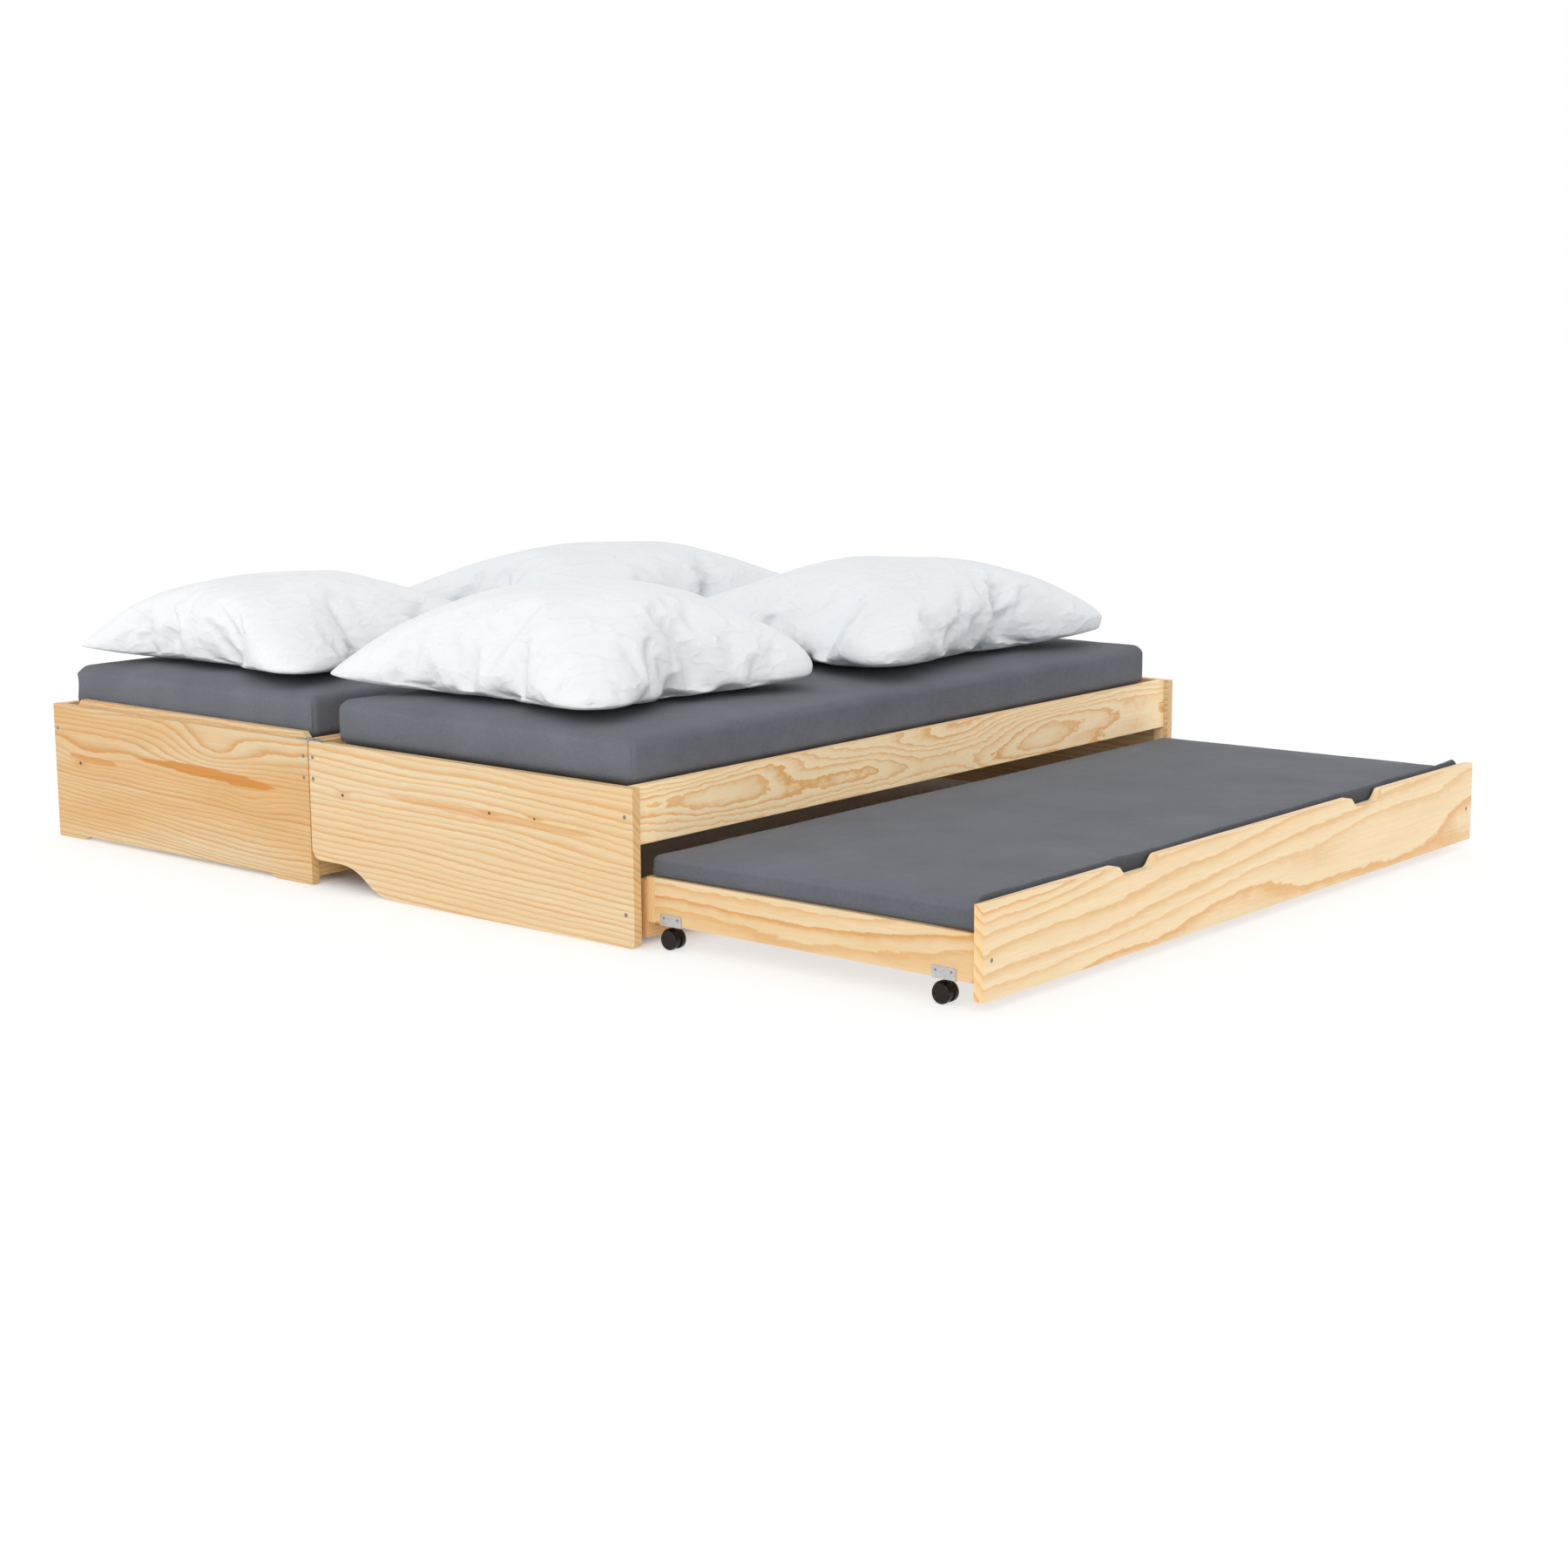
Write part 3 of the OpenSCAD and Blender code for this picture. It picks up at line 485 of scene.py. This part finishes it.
def woven_tape(name, tint):
    """Cotton tape stapled under the slats: a coarse herringbone."""
    g = Graph(name)
    x, y, z = g.position()
    zigzag = g.math("PINGPONG", x, 0.0035)
    twill = g.math("SINE", g.mul(g.add(y, zigzag), 2.0 * math.pi / 0.0018))
    dirt = g.noise(g.vector(x, y, z), 30.0, 3.0)
    color = g.mix(g.rescale(twill, -1.0, 1.0, 0.0, 0.5), tint, TAPE_WEFT)
    color = g.mix(g.rescale(dirt, 0.4, 0.8, 0.0, 0.3), color, TAPE_DIRT)
    return g.surface(color, g.rescale(dirt, 0.0, 1.0, 0.75, 0.95), g.bump(twill, 0.0003, 0.7))


def wear(piece, material):
    """The piece shows that material all over."""
    piece.data.materials.clear()
    piece.data.materials.append(material)


# ---------------------------------------------------------------- soft pieces


def new_piece(name, points, faces):
    """A smooth-shaded mesh object made of points and faces."""
    mesh = bpy.data.meshes.new(name)
    mesh.from_pydata([tuple(p) for p in points], [], faces)
    mesh.update()
    for polygon in mesh.polygons:
        polygon.use_smooth = True
    piece = bpy.data.objects.new(name, mesh)
    bpy.context.scene.collection.objects.link(piece)
    return piece


def read_points(piece):
    """The piece's points, one row of x, y and z each."""
    points = np.zeros(len(piece.data.vertices) * 3)
    piece.data.vertices.foreach_get("co", points)
    return points.reshape(-1, 3)


def write_points(piece, points):
    """Moves the piece's points to those rows."""
    piece.data.vertices.foreach_set("co", points.reshape(-1))
    piece.data.update()


def apply_modifiers(piece):
    """The piece's mesh becomes what its modifiers show, and they are removed."""
    graph = bpy.context.evaluated_depsgraph_get()
    final = bpy.data.meshes.new_from_object(piece.evaluated_get(graph))
    piece.modifiers.clear()
    piece.data = final


def swell(piece, pressure, frames, stiffness=15.0, bending=0.3, spare=0.0, cap=None):
    """Fills the closed cover with air for some frames of cloth simulation, and keeps the result.

    spare is the share of extra cloth that the cover has, which gathers in creases. cap is the furthest
    that a point may move, in metres.
    """
    start = read_points(piece)
    cloth = piece.modifiers.new("fill", "CLOTH")
    settings = cloth.settings
    settings.quality = 5
    settings.mass = 0.3
    settings.air_damping = 2.0
    settings.tension_stiffness = stiffness
    settings.compression_stiffness = stiffness
    settings.shear_stiffness = stiffness / 3
    settings.bending_stiffness = bending
    settings.shrink_min = -spare
    settings.use_pressure = True
    settings.uniform_pressure_force = pressure
    settings.effector_weights.gravity = 0.0
    cloth.collision_settings.use_collision = False
    for step in range(1, frames + 1):
        bpy.context.scene.frame_set(step)
    apply_modifiers(piece)
    bpy.context.scene.frame_set(1)
    if cap:
        moved = read_points(piece) - start
        reach = np.linalg.norm(moved, axis=1, keepdims=True)
        held = cap * np.tanh(reach / cap) / np.maximum(reach, 1e-9)
        write_points(piece, start + moved * held)


def subdivide(piece):
    """Splits each face of the piece in four and rounds it."""
    piece.modifiers.new("smooth", "SUBSURF").levels = 1
    apply_modifiers(piece)
    for polygon in piece.data.polygons:
        polygon.use_smooth = True


def ease(low, high, value):
    """A smooth step from 0 at low to 1 at high."""
    t = np.clip((value - low) / (high - low), 0.0, 1.0)
    return t * t * (3.0 - 2.0 * t)


def rough_field(points, scale, seed):
    """Smooth noise from -1 to 1 at each point; scale is (x, y, z) in waves for each metre."""
    places = [Vector((p[0] * scale[0] + seed, p[1] * scale[1], p[2] * scale[2])) for p in points]
    return np.array([noise.noise(place) for place in places])


def box_lines(half, radius, cell, steps):
    """Places of the grid lines over one side of a rounded box: close together round the edge."""
    edge = [half - radius * (1.0 - math.tan(0.25 * math.pi * i / steps)) for i in range(steps, 0, -1)]
    count = max(2, round(2.0 * (half - radius) / cell))
    inner = [-(half - radius) + 2.0 * (half - radius) * i / count for i in range(count + 1)]
    return [-e for e in edge] + inner + edge[::-1]


def rounded_box(name, low, high, radius, cell, steps=4):
    """A closed box of quads with rounded edges and corners."""
    middle = (low + high) / 2
    half = (high - low) / 2
    lines = [box_lines(half[i], radius, cell, steps) for i in range(3)]
    counts = [len(line) - 1 for line in lines]
    index = {}
    points = []

    def corner(key):
        if key not in index:
            index[key] = len(points)
            p = Vector([lines[i][key[i]] for i in range(3)])
            core = Vector([max(-(half[i] - radius), min(half[i] - radius, p[i])) for i in range(3)])
            offset = p - core
            if offset.length > 0:
                offset = offset.normalized() * radius
            points.append(middle + core + offset)
        return index[key]

    faces = []
    for axis in range(3):
        u, v = (axis + 1) % 3, (axis + 2) % 3
        for end in (0, counts[axis]):
            for i in range(counts[u]):
                for j in range(counts[v]):
                    ring = []
                    for di, dj in ((0, 0), (1, 0), (1, 1), (0, 1)):
                        key = [0, 0, 0]
                        key[axis], key[u], key[v] = end, i + di, j + dj
                        ring.append(corner(tuple(key)))
                    faces.append(ring if end else ring[::-1])
    return new_piece(name, points, faces)


def fit_to_box(points, low, high):
    """Scales the points, axis by axis, so that they just fill the box."""
    small, large = points.min(0), points.max(0)
    return np.array(low) + (points - small) * (np.array(high) - np.array(low)) / (large - small)


def corner_seams(points, middle, half, radius):
    """Pushes a sewn seam out of the four upright corners of a mattress cover."""
    offset = np.abs(points - middle)[:, :2] - (half[:2] - radius)
    angle = np.degrees(np.arctan2(offset[:, 1], np.maximum(offset[:, 0], 1e-6)))
    in_corner = (offset[:, 0] > 0) & (offset[:, 1] > 0)
    ridge = np.where(in_corner, np.exp(-(((angle - 45.0) / 9.0) ** 2)), 0.0)
    ridge *= 1.0 - ease(0.45, 0.85, (points[:, 2] - middle[2]) / half[2])
    points[:, :2] += np.sign(points - middle)[:, :2] * (SEAM_DEPTH * 0.7 * ridge)[:, None]


def mattress(name, node, body, cloth, slack, seed, keep=None, radius=0.024, shape=None):
    """A foam mattress in a fitted sheet: soft edges, a slight crown and creases where the sheet is slack.

    slack is the height of those creases. keep, when set, only gives the mattress its own copy of its
    mesh; its value is not used. shape changes the points when the mattress isn't a plain block.
    """
    low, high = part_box(node)
    start_low = low + Vector((0.005, 0.005, 0.003))
    start_high = high - Vector((0.005, 0.005, 0.006))
    piece = rounded_box(name, start_low, start_high, radius, SHEET_CELL)
    swell(piece, 3.0, 14, bending=0.4, cap=0.009)
    subdivide(piece)
    points = read_points(piece)
    middle = (np.array(low) + np.array(high)) / 2
    half = (np.array(high) - np.array(low)) / 2
    local = (points - middle) / half
    edge = np.max(np.abs(local[:, :2]), axis=1)
    on_side = ease(0.9, 0.99, edge)
    top = ease(0.2, 0.9, local[:, 2])
    dip = rough_field(points, (2.2, 1.6, 2.0), seed)
    points[:, 2] += top * (1.0 - on_side) * 0.0035 * dip
    crumple = rough_field(points, (9.0, 7.0, 12.0), seed + 5.0)
    ridges = (1.0 - np.abs(crumple)) ** 6
    outward = points - middle
    outward[:, 2] = 0.0
    outward /= np.maximum(np.linalg.norm(outward, axis=1, keepdims=True), 1e-9)
    slackness = ease(-0.1, 0.5, rough_field(points, (1.5, 1.5, 1.5), seed + 9.0))
    points += outward * (slack * ridges * on_side * slackness)[:, None]
    points[:, 2] += top * slack * 0.6 * ridges * slackness * (1.0 - on_side)
    corner_seams(points, middle, half, radius)
    points = fit_to_box(points, low, high)
    if shape:
        shape(points, low, high)
    write_points(piece, points)
    wear(piece, cloth)
    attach(piece, body)
    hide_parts(node)
    if keep:
        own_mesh(piece)


def fit_trundle(points, low, high):
    """The thin trundle mattress lies lower at the rear, bulges over the boards and rises at the front."""
    boards_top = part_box("trundle_side_near")[1].z
    rear_share, slope, lip_share, gather_share = 0.80, 0.06, 0.185, 0.02
    across = (points[:, 0] - low.x) / (high.x - low.x)
    lip = ease(0.972, 0.989, across)
    gather = rough_field(points, (4.0, 26.0, 4.0), 3.0)
    share = rear_share + slope * across + lip * (lip_share + gather_share * gather)
    points[:, 2] = low.z + (points[:, 2] - low.z) * share
    # Below the boards' top edges the cover stays inside them.
    inset = 0.020 * (1.0 - ease(boards_top - 0.006, boards_top + 0.003, points[:, 2]))
    points[:, 0] = np.maximum(points[:, 0], low.x + inset)
    points[:, 1] = np.clip(points[:, 1], low.y + inset, high.y - inset)


def pillow_cover(name, full, blunt, seed):
    """A closed plump cover: two squares sewn along their edges, which draw in a little between the corners.

    full is the power of the outline of its section: the lower, the fuller the pillow is near its edges.
    blunt is how far the two corners towards +x are tucked in, as a share of half its side.
    """
    count = PILLOW_CELLS
    even = [i / count * 2 - 1 for i in range(count + 1)]
    spread = [0.35 * math.sin(0.5 * math.pi * t) + 0.65 * t for t in even]
    points = []
    index = {}
    for layer in (1, -1):
        for i in range(count + 1):
            for j in range(count + 1):
                on_seam = i in (0, count) or j in (0, count)
                key = (0 if on_seam else layer, i, j)
                if key in index:
                    continue
                index[key] = len(points)
                u, v = spread[i], spread[j]
                depth = PILLOW_DEPTH * max(0.0, (1 - u * u) * (1 - v * v)) ** full
                bump = 0.006 * noise.noise(Vector((u * 4 + seed, v * 4, layer * 2.0)))
                tuck = 1.0 - (blunt if u > 0 else 0.3 * blunt) * (u * v) ** 6
                x = u * (1.0 - 0.045 * (1 - v * v)) * tuck * PILLOW_SIDE / 2
                y = v * (1.0 - 0.045 * (1 - u * u)) * tuck * PILLOW_SIDE / 2
                points.append((x, y, 0.0 if on_seam else layer * depth + bump))
    faces = []
    for layer in (1, -1):
        for i in range(count):
            for j in range(count):
                ring = []
                for di, dj in ((0, 0), (1, 0), (1, 1), (0, 1)):
                    a, b = i + di, j + dj
                    on_seam = a in (0, count) or b in (0, count)
                    ring.append(index[(0 if on_seam else layer, a, b)])
                faces.append(ring if layer > 0 else ring[::-1])
    return new_piece(name, points, faces)


def pillow(
    name, node, body, cloth, turn, seed, full, blunt=0.10, base_share=0.18, slump=(0.0, 0.0)
):
    """A square feather pillow that lies on its mattress, in a cover with a little cloth to spare.

    turn is how far it is turned about the upright. base_share is how high its seam is in the whole height,
    and slump is how far its top sinks to one side.
    """
    low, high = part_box(node)
    piece = pillow_cover(name, full, blunt, seed)
    swell(piece, 3.0, 26, stiffness=10.0, bending=0.06, spare=0.03)
    subdivide(piece)
    points = read_points(piece)
    points -= (points.max(0) + points.min(0)) / 2
    spin = np.array(Euler((0, 0, turn)).to_matrix())
    points = points @ spin.T
    half_depth = np.abs(points[:, 2]).max()
    height = high.z - low.z
    # The seam ends up at base_share of the height, and the fuller lower half is pressed flat.
    z = points[:, 2] / half_depth
    lower = -1.05 * base_share * np.abs(z) ** 0.75
    points[:, 2] = (base_share + np.where(z > 0, z * (1.0 - base_share), lower)) * height
    soft = 0.06 * height
    points[:, 2] = soft * np.log1p(np.exp(2.2 * points[:, 2] / soft)) / 2.2
    shape = rough_field(points, (2.6, 2.6, 2.6), seed + 3.0)
    points[:, 2] += ease(0.2, 0.9, points[:, 2] / height) * 0.014 * shape
    points[:, :2] += ease(0.1, 1.0, points[:, 2] / height)[:, None] * np.array(slump)
    write_points(piece, fit_to_box(points, low, high))
    wear(piece, cloth)
    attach(piece, body)
    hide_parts(node)
    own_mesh(piece)


# ---------------------------------------------------------------- materials of the frame

pine("pine_base_near", ["base_end_panel_near"], "x", (0.24, 0.34), ring=0.0105, wander=0.015,
     warmth=1.0, strength=1.0, lean=(0.02, -0.06),
     knots=[(-1.321, 0.193, 0.050, 0.0045), (-0.66, 0.165, 0.030, 0.0), (-0.80, 0.272, 0.045, 0.0)],
     streaks=[(-0.83, 0.222, 0.27, 0.0125, 0.85), (-1.27, 0.208, 0.10, 0.011, 0.6)], tone=0.80, seed=2.0)
pine("pine_base_far", ["base_end_panel_far"], "x", (-0.30, 0.24), ring=0.0090, wander=0.008,
     tone=0.86, seed=11.0)
pine("pine_battens_near", ["base_end_batten_near"], "x", (0.12, 0.10), ring=0.005, tone=0.9, seed=4.0)
pine("pine_battens_far", ["base_end_batten_far"], "x", (0.12, 0.10), ring=0.005, tone=0.9, seed=5.0)
pine("pine_extension_near", ["extension_end_panel_near"], "x", (0.30, 0.42), ring=0.0120, wander=0.010,
     warmth=0.35, strength=0.80, lean=(0.0, -0.04),
     knots=[(-0.335, 0.222, 0.013, 0.0042), (0.140, 0.236, 0.013, 0.0042), (0.277, 0.240, 0.010, 0.0034)],
     streaks=[(0.13, 0.231, 0.33, 0.0105, 0.38)], tone=0.87, seed=7.0)
pine("pine_extension_far", ["extension_end_panel_far"], "x", (-0.30, 0.35), ring=0.0110, wander=0.008,
     tone=0.87, seed=8.0)
pine("pine_outer_rail", ["extension_outer_rail"], "y", (-0.15, -0.008), ring=0.0066, wander=0.020,
     ripple=0.0015, strength=0.95, warmth=0.0, tone=1.26, seed=1.0)
pine("pine_base_outer_rail", ["base_outer_rail"], "y", (0.16, 0.02), ring=0.005, warmth=1.0,
     tone=0.95, seed=14.0)
pine("pine_hinge_rails", ["base_hinge_rail", "extension_hinge_rail"], "y", (0.12, 0.05), ring=0.006,
     warmth=1.0, seed=15.0)
pine("pine_kick_board", ["base_kick_board"], "y", (0.12, 0.03), ring=0.006, warmth=1.0, seed=16.0)
pine("pine_front_board", ["trundle_front_board"], "y", (-0.30, -0.17), ring=0.0205, wander=0.015,
     ripple=0.0016, lean=(0.0, 0.07), strength=0.80, warmth=0.10, tone=1.02, seed=3.0)
pine("pine_side_near", ["trundle_side_near"], "x", (0.22, -0.09), ring=0.0200, wander=0.018,
     ripple=0.0020, lean=(0.0, 0.05), strength=1.0, warmth=0.7, tone=0.88, seed=6.0)
pine("pine_side_far", ["trundle_side_far"], "x", (-0.15, -0.01), ring=0.0055, tone=0.9, seed=19.0)
pine("pine_rear_board", ["trundle_rear_board"], "y", (0.14, 0.015), ring=0.006, seed=17.0)
pine("pine_skirt", ["trundle_rear_skirt"], "y", (0.15, -0.02), ring=0.006,
     warmth=0.7, knots=[(-0.955, 0.05, 0.036, 0.012)], seed=18.0)
pine("pine_stop_battens", ["extension_stop_battens"], "x", (0.05, 0.1), ring=0.005, seed=20.0)
pine("pine_blocks", ["base_corner_blocks"], "x", (0.03, 0.1), ring=0.005, seed=21.0)
pine("pine_ledgers", ["base_slat_ledgers", "extension_slat_ledgers"], "y", (0.2, 0.1), ring=0.005,
     warmth=1.0, seed=22.0)
pine("pine_trundle_ledgers", ["trundle_slat_ledgers"], "y", (0.2, 0.1), ring=0.005, warmth=1.0,
     seed=23.0)
for slats, slat_seed in (("base_slats", 31.0), ("extension_slats", 32.0), ("trundle_slats", 33.0)):
    pine("pine_" + slats, [slats], "x", (0.0, -0.09), ring=0.0055, wander=0.008, warmth=1.0, repeat=13,
         seed=slat_seed)

zinc_plate = metal("zinc_plate", ZINC, 0.34)
bright_steel = metal("bright_steel", STEEL, 0.24)
black_nylon = moulded("black_nylon", NYLON)
slat_tape = woven_tape("slat_tape", TAPE)
# The upper mattresses' sides are painted lighter than their tops, a painted light.
grey_sheet = sheet_cloth("grey_sheet_cloth", SLATE, SLATE_DARK, 0.0011, painted_side_light=1.10)
trundle_front_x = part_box("trundle_mattress")[1].x
# The trundle's sheet is the same slate cloth with its sides and its front painted darker, a painted shade,
# and gathers near its front.
trundle_sheet = sheet_cloth("trundle_sheet_cloth", SLATE, SLATE_DARK, 0.0011, painted_side_light=0.86,
                            pleats_and_front_shade=(trundle_front_x - 0.10, trundle_front_x - 0.02))
white_cotton = sheet_cloth("white_cotton_cloth", COTTON, COTTON_SHADE, 0.0009,
                           unevenness=0.015, crease=0.0065, glow=0.15)
# The far pillows wear a darker, bluer copy of the white cotton, a painted shade.
painted_shade_cotton = sheet_cloth("painted_shade_cotton_cloth", COTTON_IN_PAINTED_SHADE, COTTON_IN_PAINTED_SHADE_SLUB, 0.0009,
                          unevenness=0.015, crease=0.0065, glow=0.15)

SMALL_PARTS = (
    (("screws", "pins", "axle", "stem"), bright_steel),
    (("leaves", "brackets"), zinc_plate),
    (("hood", "wheels"), black_nylon),
    (("tapes",), slat_tape),
)
for node_name, node_object in NODES.items():
    for words, material in SMALL_PARTS:
        if any(word in node_name for word in words):
            wear(node_object, material)
            break

# ---------------------------------------------------------------- bedding

mattress("base_sheeted_mattress", "base_mattress", "base", grey_sheet, 0.004, 1.3, keep=0.10)
mattress("extension_sheeted_mattress", "extension_mattress", "extension", grey_sheet, 0.003, 4.1, keep=0.10)
mattress("trundle_sheeted_mattress", "trundle_mattress", "trundle", trundle_sheet, 0.005, 7.7,
         radius=0.018, shape=fit_trundle)

pillow("feather_pillow_base_near", "pillow_base_near", "base", white_cotton, -0.03, 2.0, full=0.42,
       slump=(-0.06, -0.05))
pillow("feather_pillow_base_far", "pillow_base_far", "base", painted_shade_cotton, -0.05, 12.0, full=0.22)
pillow("feather_pillow_extension_near", "pillow_extension_near", "extension", white_cotton, -0.03, 22.0,
       full=0.44, blunt=0.14)
pillow("feather_pillow_extension_far", "pillow_extension_far", "extension", painted_shade_cotton, 0.03, 32.0,
       full=0.28, base_share=0.24, slump=(0.04, 0.05))

# ---------------------------------------------------------------- floor, lights, camera


def light_table():
    """Pale studio floor with a faint unevenness, lit from beneath all round the bed but not under it."""
    low, high = cad_bounds
    edge_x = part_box("extension_outer_rail")[1].x
    far_margin = 0.6
    glow_starts, glow_full = -0.12, 0.10
    g = Graph("studio_floor")
    x, y, z = g.position()
    cloud = g.noise(g.vector(x, y, z), 0.8, 2.0)
    color = g.mix(g.rescale(cloud, 0.3, 0.7, 0.0, 0.15), FLOOR, FLOOR_CLOUD)
    beside = g.math("MAXIMUM", g.sub(low[0], x), g.sub(x, edge_x))
    beyond = g.math("MAXIMUM", g.sub(low[1], y), g.sub(y, high[1] + far_margin))
    glow = g.rescale(g.math("MAXIMUM", beside, beyond), glow_starts, glow_full, 0.0, GLOW)
    color = g.mix(glow, color, BLACK)
    return g.surface(color, 0.85, Emission_Color=(1.0, 1.0, 1.0), Emission_Strength=glow)


def add_floor():
    """The studio floor, a hair below the castors and the end panels."""
    reach, level = 40.0, -0.0005
    corners = [(sx * reach, sy * reach, level) for sx, sy in ((-1, -1), (1, -1), (1, 1), (-1, 1))]
    floor = new_piece("studio_floor", corners, [(0, 1, 2, 3)])
    wear(floor, light_table())


def add_sun():
    """A very large soft box far away, to the front right of the bed."""
    light = bpy.data.lights.new("soft_box", "SUN")
    light.energy = SOFT_BOX_STRENGTH
    light.angle = math.radians(50.0)
    lamp = bpy.data.objects.new("soft_box", light)
    lamp.rotation_euler = Vector(SOFT_BOX_TOWARDS).to_track_quat("Z", "Y").to_euler()
    bpy.context.scene.collection.objects.link(lamp)


def add_sky():
    """An even white studio, darker high up on the +x side, where no lamp stands."""
    world = bpy.data.worlds.new("studio")
    world.use_nodes = True
    tree = world.node_tree
    background = tree.nodes["Background"]
    background.inputs["Color"].default_value = (1.0, 1.0, 1.0, 1.0)
    direction = tree.nodes.new("ShaderNodeTexCoord")
    split = tree.nodes.new("ShaderNodeSeparateXYZ")
    tree.links.new(direction.outputs["Generated"], split.inputs[0])
    shares = []
    for axis, start, end in ((0, 0.0, 0.8), (2, 0.10, 0.35)):
        fade = tree.nodes.new("ShaderNodeMapRange")
        fade.inputs["From Min"].default_value = start
        fade.inputs["From Max"].default_value = end
        tree.links.new(split.outputs[axis], fade.inputs["Value"])
        shares.append(fade.outputs[0])
    both = tree.nodes.new("ShaderNodeMath")
    both.operation = "MULTIPLY"
    darken = tree.nodes.new("ShaderNodeMath")
    darken.operation = "MULTIPLY_ADD"
    darken.inputs[1].default_value = DARK_SKY - 1.0
    darken.inputs[2].default_value = 1.0
    tree.links.new(shares[0], both.inputs[0])
    tree.links.new(shares[1], both.inputs[1])
    tree.links.new(both.outputs[0], darken.inputs[0])
    tree.links.new(darken.outputs[0], background.inputs["Strength"])
    bpy.context.scene.world = world


def add_camera():
    """The camera, at the viewing angle of the product picture."""
    lens = bpy.data.cameras.new("photo_camera")
    lens.sensor_width = SENSOR_WIDTH
    lens.lens = FOCAL_LENGTH
    lens.clip_end = 200.0
    camera = bpy.data.objects.new("photo_camera", lens)
    camera.matrix_world = (
        Matrix.Translation(CAMERA_PLACE)
        @ Matrix.Rotation(math.radians(CAMERA_HEADING), 4, "Z")
        @ Matrix.Rotation(math.radians(CAMERA_TILT), 4, "X")
        @ Matrix.Rotation(math.radians(CAMERA_ROLL), 4, "Z")
    )
    bpy.context.scene.collection.objects.link(camera)
    bpy.context.scene.camera = camera


add_floor()
add_sky()
add_sun()
add_camera()
bpy.context.scene.view_settings.view_transform = "Standard"
